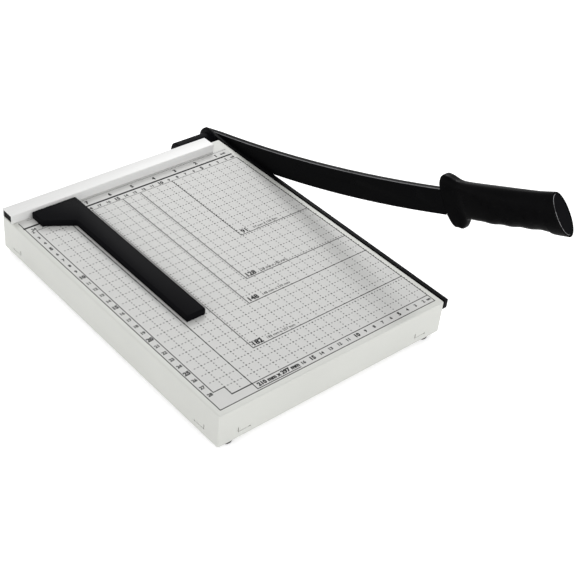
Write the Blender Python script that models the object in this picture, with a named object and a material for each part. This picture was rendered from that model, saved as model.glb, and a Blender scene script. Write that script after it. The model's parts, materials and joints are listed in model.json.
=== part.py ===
"""Guillotine paper cutter for sheets up to about 12 x 10 inches, with its blade arm raised.

Frame: X to the right (the cutting side), Y to the rear, Z up, metres. The pieces are drawn from the middle
of the table's surface, and at the end the whole cutter is set down with the middle of its box on the
origin. The arm is drawn shut, about its pivot, and then raised by REST_ANGLE.
"""

import math

import bmesh
import bpy
from mathutils import Matrix, Vector

# Base box, pressed from one steel sheet, open underneath
TABLE_WIDTH = 0.250
TABLE_DEPTH = 0.322
BASE_HEIGHT = 0.033
BASE_SHEET = 0.0012
BASE_CORNER_RADIUS = 0.003
BASE_EDGE_RADIUS = 0.0025
BASE_FLANGE_WIDTH = 0.022
BEND_STEPS = 3

# Clearance between pieces that touch, and how far a cutter runs past what it cuts
SEAT_GAP = 0.0003
CUT_OVERRUN = 0.002

# How the shapes are made: what counts as one point, what is shaded smooth, steps in a small rounding
MERGE_SHARE = 0.01
SMOOTH_ANGLE = math.radians(35)
ROUNDING_STEPS = 2

# Tabs lanced out of the walls, which lock the foot blocks down on the flange
TAB_WIDTH = 0.0125
TAB_HEIGHT = 0.005
TAB_SLIT = 0.0005
TAB_SHEET = 0.001
TAB_ROOT = 0.0005
TAB_PUSH = 0.0008
TAB_LIFT = 0.0062
TAB_INSET_X = 0.026
TAB_INSET_Y = 0.024

# Foot blocks in the four corners, rubber feet and their screws
BLOCK_LENGTH_X = 0.042
BLOCK_LENGTH_Y = 0.040
BLOCK_ARM_WIDTH = 0.0205
BLOCK_ROUNDING = 0.0015
BLOCK_PILOT_ROOF = 0.001
FOOT_RADIUS = 0.008
FOOT_TIP_RADIUS = 0.007
FOOT_HEIGHT = 0.0052
FOOT_INSET_X = 0.014
FOOT_INSET_Y = 0.0095
FOOT_RECESS_RADIUS = 0.0042
FOOT_RECESS_DEPTH = 0.0022
FOOT_SCREW_RADIUS = 0.002
FOOT_SCREW_HEAD_RADIUS = 0.0036
FOOT_SCREW_HEAD_HEIGHT = 0.0014

# Hat-section stiffeners welded under the table
STIFFENER_SPACING = 0.150
STIFFENER_CROWN = 0.024
STIFFENER_FLANGE = 0.009
STIFFENER_DEPTH = 0.012
STIFFENER_SHEET = 0.0012
STIFFENER_SIDE_LEAN = 0.003
STIFFENER_END_GAP = 0.006

# Rear fence, a white extrusion that squares the paper, with its end plugs and screws
FENCE_SETBACK = 0.017
FENCE_DEPTH = 0.016
FENCE_HEIGHT = 0.009
FENCE_WALL = 0.0014
FENCE_RIB = 0.005
FENCE_ROUNDING = 0.0008
FENCE_FROM_CUT = 0.0245
FENCE_SCREWS = 3
FENCE_SCREW_END_SHARE = 0.09
PLUG_SINK = 0.0004
PLUG_FACE = 0.0015
PLUG_PRONG = 0.008
FENCE_SCREW_RADIUS = 0.0015
FENCE_SCREW_HEAD_RADIUS = 0.003
FENCE_SCREW_HEAD_HEIGHT = 0.0018
FENCE_SCREW_REACH = 0.006

# Bed knife, a flat steel bar on the right wall that ends in the pivot ear
KNIFE_THICKNESS = 0.004
KNIFE_HEIGHT = 0.011
KNIFE_STAND = 0.0007
KNIFE_NOSE_RADIUS = 0.003
KNIFE_NOSE_STEPS = 4
EAR_RADIUS = 0.0150
EAR_RISE_START = 0.034
EAR_STEPS = 24
PIVOT_BACK = 0.015
PIVOT_DROP = 0.010
KNIFE_SCREWS = 4
KNIFE_SCREW_INSET = 0.034
KNIFE_SCREW_RADIUS = 0.0015
KNIFE_SCREW_HEAD_RADIUS = 0.003
KNIFE_SCREW_SINK = 0.0001
KNIFE_SCREW_TAIL = 0.0015
KNIFE_NUT_ACROSS = 0.0055
KNIFE_NUT_HEIGHT = 0.0024

# Pivot: bolt, bush, washers, the spring that draws the blade against the bed knife, and its cover
BOLT_RADIUS = 0.004
BOLT_HEAD_ACROSS = 0.013
BOLT_HEAD_HEIGHT = 0.0053
BOLT_TAIL = 0.002
BUSH_WALL = 0.0018
WASHER_RADIUS = 0.007
WASHER_THICKNESS = 0.0016
SPRING_WIRE = 0.0016
SPRING_RADIUS = 0.0058
SPRING_LENGTH = 0.0245
SPRING_TURNS = 7
SPRING_STEPS = 12
LOCK_NUT_ACROSS = 0.013
LOCK_NUT_HEIGHT = 0.008
LOCK_NUT_COLLAR_HEIGHT = 0.0015
COLLAR_LENGTH = 0.005
COLLAR_WALL = 0.0013
COVER_WALL = 0.0012
COVER_END_WALL = 0.0015
COVER_END_ROUNDING = 0.0012
COVER_END_ROOM = 0.0025
ROUND_STEPS = 20

# Blade and its carrier, in the arm's own measures: U forward of the pivot, W above it, arm shut
REST_ANGLE = math.radians(14.5)
BLADE_THICKNESS = 0.0025
CARRIER_THICKNESS = 0.003
ARM_EYE_RADIUS = 0.0165
ARM_TOP_HEIGHT = 0.0092
ARM_TOP_LOW_U = 0.052
ARM_TOP_RADIUS = 1.89
EDGE_DROP = 0.0147
EDGE_LOW_U = 0.070
EDGE_RADIUS = 1.587
EDGE_START_U = 0.034
BLADE_GRIND = 0.0045
BLADE_LAND = 0.0002
CARRIER_STEP = 0.007
CARRIER_START_U = 0.030
EDGE_STEPS = 14
EYE_STEPS = 12
RIVETS = 4
RIVET_FIRST_U = 0.060
RIVET_LAST_U = 0.290
RIVET_RADIUS = 0.0025
RIVET_HEAD_RADIUS = 0.0045
RIVET_HEAD_HEIGHT = 0.0018
RIVET_HEAD_STEPS = 4
RIVET_FLUSH_RADIUS = 0.0037
RIVET_SINK = 0.0001

# Handle, a black moulding on the carrier's tang
HANDLE_FRONT_U = 0.3243
HANDLE_FRONT_W = 0.0205
HANDLE_TILT = math.radians(8.2)
HANDLE_FRONT_LEAN = math.radians(18.6)
HANDLE_END_LEAN = math.radians(26.4)
HANDLE_LENGTH = 0.1230
HANDLE_HALF_HEIGHT = 0.0155
HANDLE_WIDTH = 0.0168
HANDLE_OUTER_X = 0.0134
HANDLE_STEPS = 40
HANDLE_ROUND_STEPS = 24
HANDLE_FRONT_TRIES = 12
FINGER_WAVE = 0.0007
FINGERS = 4
FINGER_START_SHARE = 0.235
FINGER_END_SHARE = 0.87
# Each row: how far along, above, below (of the half height), flank (0 flat for the table, 1 full), squareness
HANDLE_SHARES = (
    (0.00, 1.00, 0.98, 0.00, 4.4),
    (0.012, 1.18, 1.30, 0.00, 4.4),
    (0.026, 1.28, 1.62, 0.00, 4.4),
    (0.05, 1.34, 1.71, 0.00, 4.2),
    (0.09, 1.26, 1.74, 0.00, 4.0),
    (0.12, 1.16, 1.52, 0.02, 3.6),
    (0.155, 1.06, 1.17, 0.12, 3.2),
    (0.21, 1.01, 1.10, 0.40, 3.0),
    (0.33, 1.02, 1.14, 0.80, 2.8),
    (0.52, 1.05, 1.12, 1.00, 2.6),
    (0.74, 1.08, 1.08, 1.00, 2.4),
    (0.867, 1.11, 1.09, 1.00, 2.2),
    (0.885, 1.12, 1.17, 1.00, 2.2),
    (1.00, 1.20, 1.20, 1.00, 2.1),
)
TANG_HALF_HEIGHT = 0.008
TANG_LENGTH_SHARE = 0.78
HANDLE_SCREW_SHARES = (0.24, 0.66)
HANDLE_SCREW_RADIUS = 0.0016
HANDLE_SCREW_HEAD_RADIUS = 0.0032
HANDLE_SCREW_HEAD_HEIGHT = 0.002
HANDLE_SCREW_SEAT = 0.004
HANDLE_SCREW_REACH = 0.0022
CAP_WALL = 0.0014
CAP_DEPTH = 0.003

# Paper guide, a flat moulded square held to the table by magnets
GUIDE_THICKNESS = 0.006
GUIDE_BAR_WIDTH = 0.020
GUIDE_LENGTH = 0.200
GUIDE_HEAD_WIDTH = 0.0468
GUIDE_HEAD_SIDE = 0.0172
GUIDE_HEAD_DEPTH = 0.0335
GUIDE_FROM_CUT = 0.1873
GUIDE_ROUNDING = 0.0012
GUIDE_CORNER = 0.0015
MAGNET_LENGTH = 0.024
MAGNET_WIDTH = 0.010
MAGNET_HEIGHT = 0.003
MAGNET_SETBACK_SHARES = (0.09, 0.45, 0.86)

# Places that several pieces share
RIGHT_WALL = TABLE_WIDTH / 2
REAR_WALL = TABLE_DEPTH / 2
CUT_X = RIGHT_WALL + SEAT_GAP + KNIFE_THICKNESS
FENCE_FRONT = REAR_WALL - FENCE_SETBACK
PIVOT_Y = REAR_WALL + PIVOT_BACK
PIVOT_Z = -PIVOT_DROP
BLADE_X = SEAT_GAP
CARRIER_X = BLADE_X + BLADE_THICKNESS + SEAT_GAP
ARM_OUTER_X = CARRIER_X + CARRIER_THICKNESS


def clear_scene():
    for old in list(bpy.data.objects):
        bpy.data.objects.remove(old, do_unlink=True)


def material(name, colour, roughness, metallic=0.0):
    """A Principled material; the colour is linear."""
    made = bpy.data.materials.new(name)
    made.use_nodes = True
    shader = made.node_tree.nodes["Principled BSDF"]
    shader.inputs["Base Color"].default_value = (*colour, 1)
    shader.inputs["Roughness"].default_value = roughness
    shader.inputs["Metallic"].default_value = metallic
    made.diffuse_color = (*colour, 1)
    return made


def add(name, bm, finish, parent=None, location=(0, 0, 0)):
    """Makes a node of the shape in bm and shades it smooth where its faces meet gently."""
    bmesh.ops.recalc_face_normals(bm, faces=bm.faces)
    mesh = bpy.data.meshes.new(name)
    bm.to_mesh(mesh)
    bm.free()
    mesh.shade_smooth()
    mesh.set_sharp_from_angle(angle=SMOOTH_ANGLE)
    mesh.materials.append(finish)
    obj = bpy.data.objects.new(name, mesh)
    obj.parent = parent
    obj.location = location
    bpy.context.scene.collection.objects.link(obj)
    return obj


def boolean(target, name, bm, operation="DIFFERENCE"):
    """Cuts the shape in bm out of the target, or joins it on, with a hidden helper in the same place."""
    bmesh.ops.recalc_face_normals(bm, faces=bm.faces)
    mesh = bpy.data.meshes.new(name)
    bm.to_mesh(mesh)
    bm.free()
    helper = bpy.data.objects.new(name, mesh)
    helper.parent = target.parent
    helper.location = target.location
    helper.hide_render = True
    helper.display_type = "WIRE"
    bpy.context.scene.collection.objects.link(helper)
    modifier = target.modifiers.new(name, "BOOLEAN")
    modifier.operation = operation
    modifier.object = helper


def pivot_empty(name, location, turn=0):
    empty = bpy.data.objects.new(name, None)
    empty.location = location
    empty.rotation_euler = (turn, 0, 0)
    bpy.context.scene.collection.objects.link(empty)
    return empty


def block(low, high):
    """A box between two corners."""
    bm = bmesh.new()
    bmesh.ops.create_cube(bm, size=1)
    bmesh.ops.scale(bm, verts=bm.verts, vec=[b - a for a, b in zip(low, high)])
    bmesh.ops.translate(bm, verts=bm.verts, vec=[(a + b) / 2 for a, b in zip(low, high)])
    return bm


def prism(outline, low, high, axis):
    """An outline of point pairs in the plane across the axis, extruded along the axis."""
    places = {
        "X": lambda a, b: (low, a, b),
        "Y": lambda a, b: (a, low, b),
        "Z": lambda a, b: (a, b, low),
    }
    along = {"X": (high - low, 0, 0), "Y": (0, high - low, 0), "Z": (0, 0, high - low)}
    bm = bmesh.new()
    face = bm.faces.new([bm.verts.new(places[axis](a, b)) for a, b in outline])
    grown = bmesh.ops.extrude_face_region(bm, geom=[face])["geom"]
    moved = [item for item in grown if isinstance(item, bmesh.types.BMVert)]
    bmesh.ops.translate(bm, verts=moved, vec=along[axis])
    return bm


def turned(profile, axis="X", steps=ROUND_STEPS):
    """A turned solid: a profile of (along, radius) points, spun about the axis."""
    bm = bmesh.new()
    verts = [bm.verts.new((along, radius, 0)) for along, radius in profile]
    closed = profile[0][1] > 0 and profile[-1][1] > 0
    pairs = list(zip(verts, verts[1:]))
    if closed:
        pairs.append((verts[-1], verts[0]))
    edges = [bm.edges.new(pair) for pair in pairs]
    bmesh.ops.spin(bm, geom=verts + edges, cent=(0, 0, 0), axis=(1, 0, 0), angle=math.tau, steps=steps,
                   use_merge=True)
    bmesh.ops.remove_doubles(bm, verts=bm.verts, dist=min(SEAT_GAP, BLADE_LAND) * MERGE_SHARE)
    if axis == "Z":
        bmesh.ops.rotate(bm, verts=bm.verts, matrix=Matrix.Rotation(-math.pi / 2, 3, "Y"))
    return bm


def shift(bm, vector):
    bmesh.ops.translate(bm, verts=bm.verts, vec=vector)
    return bm


def merged(*shapes):
    """Several separate shapes in one, for one cut that makes many holes."""
    whole = bmesh.new()
    for shape in shapes:
        mesh = bpy.data.meshes.new("part_of_cutter")
        shape.to_mesh(mesh)
        shape.free()
        whole.from_mesh(mesh)
        bpy.data.meshes.remove(mesh)
    return whole


def rod(low, high, radius, axis="X"):
    """A plain round bar, used for pins and for the holes that take them."""
    return turned([(low, 0), (low, radius), (high, radius), (high, 0)], axis)


def hexagon(across, low, high, bore=0):
    """A hexagon across flats, along X, with an optional bore."""
    corner = across / math.sqrt(3)
    outline = [(corner * math.cos(i * math.tau / 6), corner * math.sin(i * math.tau / 6)) for i in range(6)]
    bm = prism(outline, low, high, "X")
    if not bore:
        return bm
    bm.free()
    bm = bmesh.new()
    turn = math.tau / ROUND_STEPS
    rings = []
    for x in (low, high):
        outer = [bm.verts.new((x, a, b)) for a, b in outline]
        inner = [bm.verts.new((x, bore * math.cos(i * turn), bore * math.sin(i * turn)))
                 for i in range(ROUND_STEPS)]
        for ring in (outer, inner):
            for i, vert in enumerate(ring):
                bm.edges.new((vert, ring[(i + 1) % len(ring)]))
        rings.append((outer, inner))
    for end in rings:
        edges = [edge for ring in end for vert in ring for edge in vert.link_edges
                 if edge.verts[0] in ring and edge.verts[1] in ring]
        bmesh.ops.triangle_fill(bm, edges=list(set(edges)), use_beauty=True)
    for ring_low, ring_high in zip(rings[0], rings[1]):
        count = len(ring_low)
        for i in range(count):
            j = (i + 1) % count
            bm.faces.new((ring_low[i], ring_low[j], ring_high[j], ring_high[i]))
    return bm


def bevelled(bm, width, steps, chosen):
    """Rounds the edges for which chosen(edge) is true."""
    edges = [edge for edge in bm.edges if chosen(edge)]
    bmesh.ops.bevel(bm, geom=edges, offset=width, segments=steps, affect="EDGES", profile=0.5)
    return bm


def tangent_angle(point, centre, radius, side):
    """The angle, seen from a circle's centre, at which a line from the point touches the circle."""
    away = math.hypot(point[0] - centre[0], point[1] - centre[1])
    toward = math.atan2(point[1] - centre[1], point[0] - centre[0])
    return toward + side * math.acos(radius / away)


def arc(centre, radius, start, end, steps):
    angles = [start + (end - start) * i / steps for i in range(steps + 1)]
    return [(centre[0] + radius * math.cos(a), centre[1] + radius * math.sin(a)) for a in angles]


def tray(width, depth, low, high, corner, edge):
    """A box with rounded upright corners and rounded upper edges."""
    bm = block((-width / 2, -depth / 2, low), (width / 2, depth / 2, high))
    half = (high - low) / 2
    bevelled(bm, corner, BEND_STEPS, lambda e: abs(e.verts[0].co.z - e.verts[1].co.z) > half)
    return bevelled(bm, edge, BEND_STEPS, lambda e: min(v.co.z for v in e.verts) > low + half)


def each_corner():
    """The four corners as (name, side in X, side in Y)."""
    return [
        ("front_left", -1, -1),
        ("front_right", 1, -1),
        ("rear_left", -1, 1),
        ("rear_right", 1, 1),
    ]


def tab_places():
    """The eight tabs: (on a side wall or not, side of that wall, place along it)."""
    places = []
    for _, side_x, side_y in each_corner():
        places.append((False, side_y, side_x * (RIGHT_WALL - TAB_INSET_X)))
        places.append((True, side_x, side_y * (REAR_WALL - TAB_INSET_Y)))
    return places


def tab_piece(outline, on_side, side, along, width):
    """An outline of (inward from the wall's outer face, height), as wide as a tab, set into its wall."""
    wall = RIGHT_WALL if on_side else REAR_WALL
    points = [(side * (wall - inward), z) for inward, z in outline]
    if on_side:
        return prism(points, along - width / 2, along + width / 2, "Y")
    return prism(points, along - width / 2, along + width / 2, "X")


def tab_window(on_side, side, along):
    low = -BASE_HEIGHT + TAB_LIFT
    high = low + TAB_SLIT + TAB_HEIGHT
    deep = BASE_SHEET + CUT_OVERRUN
    outline = [(-CUT_OVERRUN, low), (deep, low), (deep, high), (-CUT_OVERRUN, high)]
    return tab_piece(outline, on_side, side, along, TAB_WIDTH + 2 * TAB_SLIT)


def tab(on_side, side, along):
    low = -BASE_HEIGHT + TAB_LIFT + TAB_SLIT
    high = low + TAB_HEIGHT + TAB_ROOT
    skin = (BASE_SHEET - TAB_SHEET) / 2
    outline = [
        (skin, high),
        (skin + TAB_PUSH, low),
        (skin + TAB_PUSH + TAB_SHEET, low),
        (skin + TAB_SHEET, high),
    ]
    return tab_piece(outline, on_side, side, along, TAB_WIDTH)


def fence_span():
    """The fence's left and right ends."""
    return -RIGHT_WALL, CUT_X - FENCE_FROM_CUT


def fence_rib():
    """The front and rear of the rib that runs along the middle of the fence."""
    front = FENCE_FRONT + (FENCE_DEPTH - FENCE_RIB) / 2
    return front, front + FENCE_RIB


def plug_faces(side):
    """The fence's end on one side, and the outer and inner face of the plug, a little inside it."""
    end = fence_span()[1 if side > 0 else 0]
    outer = end - side * PLUG_SINK
    return end, outer, outer - side * PLUG_FACE


def fence_screw_places():
    left, right = fence_span()
    inset = FENCE_SCREW_END_SHARE * (right - left)
    step = (right - left - 2 * inset) / (FENCE_SCREWS - 1)
    return [left + inset + i * step for i in range(FENCE_SCREWS)]


def knife_screw_places():
    first = -REAR_WALL + KNIFE_SCREW_INSET
    step = (2 * REAR_WALL - 2 * KNIFE_SCREW_INSET) / (KNIFE_SCREWS - 1)
    return [first + i * step for i in range(KNIFE_SCREWS)]


def knife_screw_z():
    return KNIFE_STAND - KNIFE_HEIGHT / 2


def foot_place(side_x, side_y):
    return side_x * (RIGHT_WALL - FOOT_INSET_X), side_y * (REAR_WALL - FOOT_INSET_Y)


def base_shell(finish):
    """The pressed box: table, four walls, turned-in flange, lanced tabs and screw holes."""
    obj = add("base_shell", tray(TABLE_WIDTH, TABLE_DEPTH, -BASE_HEIGHT, 0, BASE_CORNER_RADIUS,
                                 BASE_EDGE_RADIUS), finish)
    inner = 2 * BASE_SHEET
    boolean(obj, "base_cavity", tray(TABLE_WIDTH - inner, TABLE_DEPTH - inner, -BASE_HEIGHT + BASE_SHEET,
                                     -BASE_SHEET, BASE_CORNER_RADIUS - BASE_SHEET,
                                     BASE_EDGE_RADIUS - BASE_SHEET))
    mouth_x = RIGHT_WALL - BASE_FLANGE_WIDTH
    mouth_y = REAR_WALL - BASE_FLANGE_WIDTH
    mouth = block((-mouth_x, -mouth_y, -BASE_HEIGHT - CUT_OVERRUN),
                  (mouth_x, mouth_y, -BASE_HEIGHT + BASE_SHEET + CUT_OVERRUN))
    bevelled(mouth, BASE_CORNER_RADIUS, BEND_STEPS,
             lambda e: abs(e.verts[0].co.z - e.verts[1].co.z) > CUT_OVERRUN)
    boolean(obj, "base_mouth", mouth)
    boolean(obj, "tab_windows", merged(*[tab_window(*place) for place in tab_places()]))
    boolean(obj, "tabs", merged(*[tab(*place) for place in tab_places()]), "UNION")
    foot_hole = FOOT_SCREW_RADIUS + SEAT_GAP
    holes = []
    for _, side_x, side_y in each_corner():
        x, y = foot_place(side_x, side_y)
        hole = rod(-BASE_HEIGHT - CUT_OVERRUN, -BASE_HEIGHT + BASE_SHEET + CUT_OVERRUN, foot_hole, "Z")
        holes.append(shift(hole, (x, y, 0)))
    middle = FENCE_FRONT + FENCE_DEPTH / 2
    for x in fence_screw_places():
        hole = rod(-BASE_SHEET - CUT_OVERRUN, CUT_OVERRUN, FENCE_SCREW_RADIUS + SEAT_GAP, "Z")
        holes.append(shift(hole, (x, middle, 0)))
    for y in knife_screw_places():
        hole = rod(RIGHT_WALL - BASE_SHEET - CUT_OVERRUN, RIGHT_WALL + CUT_OVERRUN,
                   KNIFE_SCREW_RADIUS + SEAT_GAP)
        holes.append(shift(hole, (0, y, knife_screw_z())))
    boolean(obj, "base_screw_holes", merged(*holes))


def table_stiffener(name, y, finish):
    """A hat section of bent sheet, flanges up against the table."""
    top = -BASE_SHEET - SEAT_GAP
    foot = STIFFENER_CROWN / 2 + STIFFENER_SIDE_LEAN
    crown = STIFFENER_CROWN / 2
    low = top - STIFFENER_DEPTH
    sheet = STIFFENER_SHEET
    half = [
        (foot + STIFFENER_FLANGE, top),
        (foot + STIFFENER_FLANGE, top - sheet),
        (foot + sheet, top - sheet),
        (crown + sheet, low),
    ]
    hollow = [(crown, low + sheet), (foot, top)]
    outline = half + [(-a, b) for a, b in reversed(half)] + [(-a, b) for a, b in reversed(hollow)] + hollow
    reach = RIGHT_WALL - BASE_SHEET - STIFFENER_END_GAP
    add(name, prism([(y + a, b) for a, b in outline], -reach, reach, "X"), finish)


def foot_block(name, side_x, side_y, finish):
    """An L-shaped moulding that lies on the flange, under the tabs, and takes the foot's screw."""
    inset = BASE_SHEET + SEAT_GAP
    outline = [
        (0, 0),
        (BLOCK_LENGTH_X, 0),
        (BLOCK_LENGTH_X, BLOCK_ARM_WIDTH),
        (BLOCK_ARM_WIDTH, BLOCK_ARM_WIDTH),
        (BLOCK_ARM_WIDTH, BLOCK_LENGTH_Y),
        (0, BLOCK_LENGTH_Y),
    ]
    points = [(side_x * (RIGHT_WALL - inset - a), side_y * (REAR_WALL - inset - b)) for a, b in outline]
    low = -BASE_HEIGHT + BASE_SHEET + SEAT_GAP
    high = -BASE_HEIGHT + TAB_LIFT + TAB_SLIT - SEAT_GAP
    tall = (high - low) / 2
    bm = prism(points, low, high, "Z")
    bevelled(bm, BLOCK_ROUNDING, ROUNDING_STEPS,
             lambda e: abs(e.verts[0].co.z - e.verts[1].co.z) > tall)
    obj = add(name, bm, finish)
    x, y = foot_place(side_x, side_y)
    pilot = rod(low - CUT_OVERRUN, high - BLOCK_PILOT_ROOF, FOOT_SCREW_RADIUS + SEAT_GAP, "Z")
    boolean(obj, name + "_pilot", shift(pilot, (x, y, 0)))


def foot(name, x, y, finish):
    """A rubber foot with a recess for its screw's head."""
    top = -BASE_HEIGHT - SEAT_GAP
    low = top - FOOT_HEIGHT
    ledge = low + FOOT_RECESS_DEPTH
    bore = FOOT_SCREW_RADIUS + SEAT_GAP
    profile = [(top, bore), (top, FOOT_RADIUS), (low, FOOT_TIP_RADIUS), (low, FOOT_RECESS_RADIUS),
               (ledge, FOOT_RECESS_RADIUS), (ledge, bore)]
    add(name, shift(turned(profile, "Z"), (x, y, 0)), finish)


def foot_screw(name, x, y, finish):
    seat = -BASE_HEIGHT - SEAT_GAP - FOOT_HEIGHT + FOOT_RECESS_DEPTH - SEAT_GAP
    tip = -BASE_HEIGHT + TAB_LIFT + TAB_SLIT - 2 * SEAT_GAP - BLOCK_PILOT_ROOF
    profile = [(tip, 0), (tip, FOOT_SCREW_RADIUS), (seat, FOOT_SCREW_RADIUS),
               (seat, FOOT_SCREW_HEAD_RADIUS), (seat - FOOT_SCREW_HEAD_HEIGHT, FOOT_SCREW_HEAD_RADIUS),
               (seat - FOOT_SCREW_HEAD_HEIGHT, 0)]
    add(name, shift(turned(profile, "Z"), (x, y, 0)), finish)


def rear_fence(finish):
    """An extrusion open below; its screws bite into a middle rib, cut short at each end for the plug."""
    left, right = fence_span()
    low = SEAT_GAP
    high = FENCE_HEIGHT
    roof = high - FENCE_WALL
    front = FENCE_FRONT
    rear = FENCE_FRONT + FENCE_DEPTH
    rib_front, rib_rear = fence_rib()
    outline = [
        (front, low),
        (front, high),
        (rear, high),
        (rear, low),
        (rear - FENCE_WALL, low),
        (rear - FENCE_WALL, roof),
        (rib_rear, roof),
        (rib_rear, low),
        (rib_front, low),
        (rib_front, roof),
        (front + FENCE_WALL, roof),
        (front + FENCE_WALL, low),
    ]
    bm = prism(outline, left, right, "X")
    long = (right - left) / 2
    level = high - FENCE_WALL / 2
    bevelled(bm, FENCE_ROUNDING, ROUNDING_STEPS,
             lambda e: e.calc_length() > long and min(v.co.z for v in e.verts) > level)
    obj = add("rear_fence", bm, finish)
    notches = []
    for side in (-1, 1):
        end, _, inner = plug_faces(side)
        x_low, x_high = sorted((end + side * CUT_OVERRUN, inner - side * SEAT_GAP))
        notches.append(block((x_low, rib_front - SEAT_GAP, low - CUT_OVERRUN),
                             (x_high, rib_rear + SEAT_GAP, roof)))
    boolean(obj, "fence_rib_ends", merged(*notches))
    holes = [shift(rod(low - CUT_OVERRUN, FENCE_SCREW_REACH + SEAT_GAP, FENCE_SCREW_RADIUS + SEAT_GAP, "Z"),
                   (x, (front + rear) / 2, 0)) for x in fence_screw_places()]
    boolean(obj, "fence_screw_holes", merged(*holes))


def fence_plug(name, side, finish):
    """A black plug inside the extrusion's walls: a face across both channels, and a prong in each."""
    end, outer, inner = plug_faces(side)
    tip = end - side * PLUG_PRONG
    gap = FENCE_WALL + SEAT_GAP
    front = FENCE_FRONT + gap
    rear = FENCE_FRONT + FENCE_DEPTH - gap
    rib_front, rib_rear = fence_rib()
    outline = [
        (outer, front),
        (outer, rear),
        (tip, rear),
        (tip, rib_rear + SEAT_GAP),
        (inner, rib_rear + SEAT_GAP),
        (inner, rib_front - SEAT_GAP),
        (tip, rib_front - SEAT_GAP),
        (tip, front),
    ]
    add(name, prism(outline, 2 * SEAT_GAP, FENCE_HEIGHT - gap, "Z"), finish)


def fence_screw(name, x, finish):
    seat = -BASE_SHEET - SEAT_GAP
    profile = [(FENCE_SCREW_REACH, 0), (FENCE_SCREW_REACH, FENCE_SCREW_RADIUS), (seat, FENCE_SCREW_RADIUS),
               (seat, FENCE_SCREW_HEAD_RADIUS), (seat - FENCE_SCREW_HEAD_HEIGHT, FENCE_SCREW_HEAD_RADIUS),
               (seat - FENCE_SCREW_HEAD_HEIGHT, 0)]
    add(name, shift(turned(profile, "Z"), (x, FENCE_FRONT + FENCE_DEPTH / 2, 0)), finish)


def knife_outline():
    """The bar from its rounded nose at the front to the ear round the pivot, as (y, z)."""
    top = KNIFE_STAND
    low = KNIFE_STAND - KNIFE_HEIGHT
    front = -REAR_WALL
    centre = (PIVOT_Y, PIVOT_Z)
    rise = (PIVOT_Y - EAR_RISE_START, top)
    fall = (PIVOT_Y - EAR_RISE_START, low)
    start = tangent_angle(fall, centre, EAR_RADIUS, 1)
    end = tangent_angle(rise, centre, EAR_RADIUS, -1)
    if start > end:
        start -= math.tau
    nose_centre = (front + KNIFE_NOSE_RADIUS, low + KNIFE_NOSE_RADIUS)
    nose = arc(nose_centre, KNIFE_NOSE_RADIUS, math.pi, math.pi * 3 / 2, KNIFE_NOSE_STEPS)
    return [(front, top)] + nose + [fall] + arc(centre, EAR_RADIUS, start, end, EAR_STEPS) + [rise]


def bed_knife(finish):
    obj = add("bed_knife", prism(knife_outline(), CUT_X - KNIFE_THICKNESS, CUT_X, "X"), finish)
    holes = [shift(rod(CUT_X - KNIFE_THICKNESS - CUT_OVERRUN, CUT_X + CUT_OVERRUN,
                       BOLT_RADIUS + BUSH_WALL + 2 * SEAT_GAP), (0, PIVOT_Y, PIVOT_Z))]
    cone = KNIFE_SCREW_HEAD_RADIUS - KNIFE_SCREW_RADIUS
    for y in knife_screw_places():
        shaft = KNIFE_SCREW_RADIUS + SEAT_GAP
        head = KNIFE_SCREW_HEAD_RADIUS + SEAT_GAP
        far = CUT_X - KNIFE_THICKNESS - CUT_OVERRUN
        profile = [(far, 0), (far, shaft), (CUT_X - cone - SEAT_GAP, shaft), (CUT_X, head),
                   (CUT_X + CUT_OVERRUN, head), (CUT_X + CUT_OVERRUN, 0)]
        holes.append(shift(turned(profile), (0, y, knife_screw_z())))
    boolean(obj, "knife_holes", merged(*holes))


def knife_nut_x():
    """The nut's two faces, inside the right wall."""
    near = RIGHT_WALL - BASE_SHEET - SEAT_GAP
    return near - KNIFE_NUT_HEIGHT, near


def knife_screw(name, y, finish):
    """A countersunk screw, flush in the knife so that the blade can pass it."""
    head = CUT_X - KNIFE_SCREW_SINK
    cone = KNIFE_SCREW_HEAD_RADIUS - KNIFE_SCREW_RADIUS
    tip = knife_nut_x()[0] - KNIFE_SCREW_TAIL
    profile = [(tip, 0), (tip, KNIFE_SCREW_RADIUS), (head - cone, KNIFE_SCREW_RADIUS),
               (head, KNIFE_SCREW_HEAD_RADIUS), (head, 0)]
    add(name, shift(turned(profile), (0, y, knife_screw_z())), finish)


def knife_nut(name, y, finish):
    low, high = knife_nut_x()
    bm = hexagon(KNIFE_NUT_ACROSS, low, high, KNIFE_SCREW_RADIUS + SEAT_GAP)
    add(name, shift(bm, (0, y, knife_screw_z())), finish)


def pivot_x():
    """Where the parts on the pivot's inner side lie, leftwards from the ear, measured from the cut plane."""
    ear = -KNIFE_THICKNESS
    inner_washer = ear - SEAT_GAP
    spring = inner_washer - WASHER_THICKNESS - SEAT_GAP
    outer_washer = spring - SPRING_LENGTH - SEAT_GAP
    nut = outer_washer - WASHER_THICKNESS - SEAT_GAP
    nut_end = nut - LOCK_NUT_HEIGHT
    tip = nut_end - BOLT_TAIL
    return ear, inner_washer, spring, outer_washer, nut, nut_end, tip


def washer(name, low, arm, finish):
    bore = BOLT_RADIUS + SEAT_GAP
    profile = [(low, bore), (low, WASHER_RADIUS), (low + WASHER_THICKNESS, WASHER_RADIUS),
               (low + WASHER_THICKNESS, bore)]
    add(name, turned(profile), finish, arm)


def pivot_bolt(arm, finish):
    head = ARM_OUTER_X + SEAT_GAP + WASHER_THICKNESS + SEAT_GAP
    tip = pivot_x()[-1]
    obj = add("pivot_bolt", hexagon(BOLT_HEAD_ACROSS, head, head + BOLT_HEAD_HEIGHT), finish, arm)
    shank = rod(tip, head + BOLT_HEAD_HEIGHT / 2, BOLT_RADIUS)
    boolean(obj, "pivot_bolt_shank", shank, "UNION")


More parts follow.
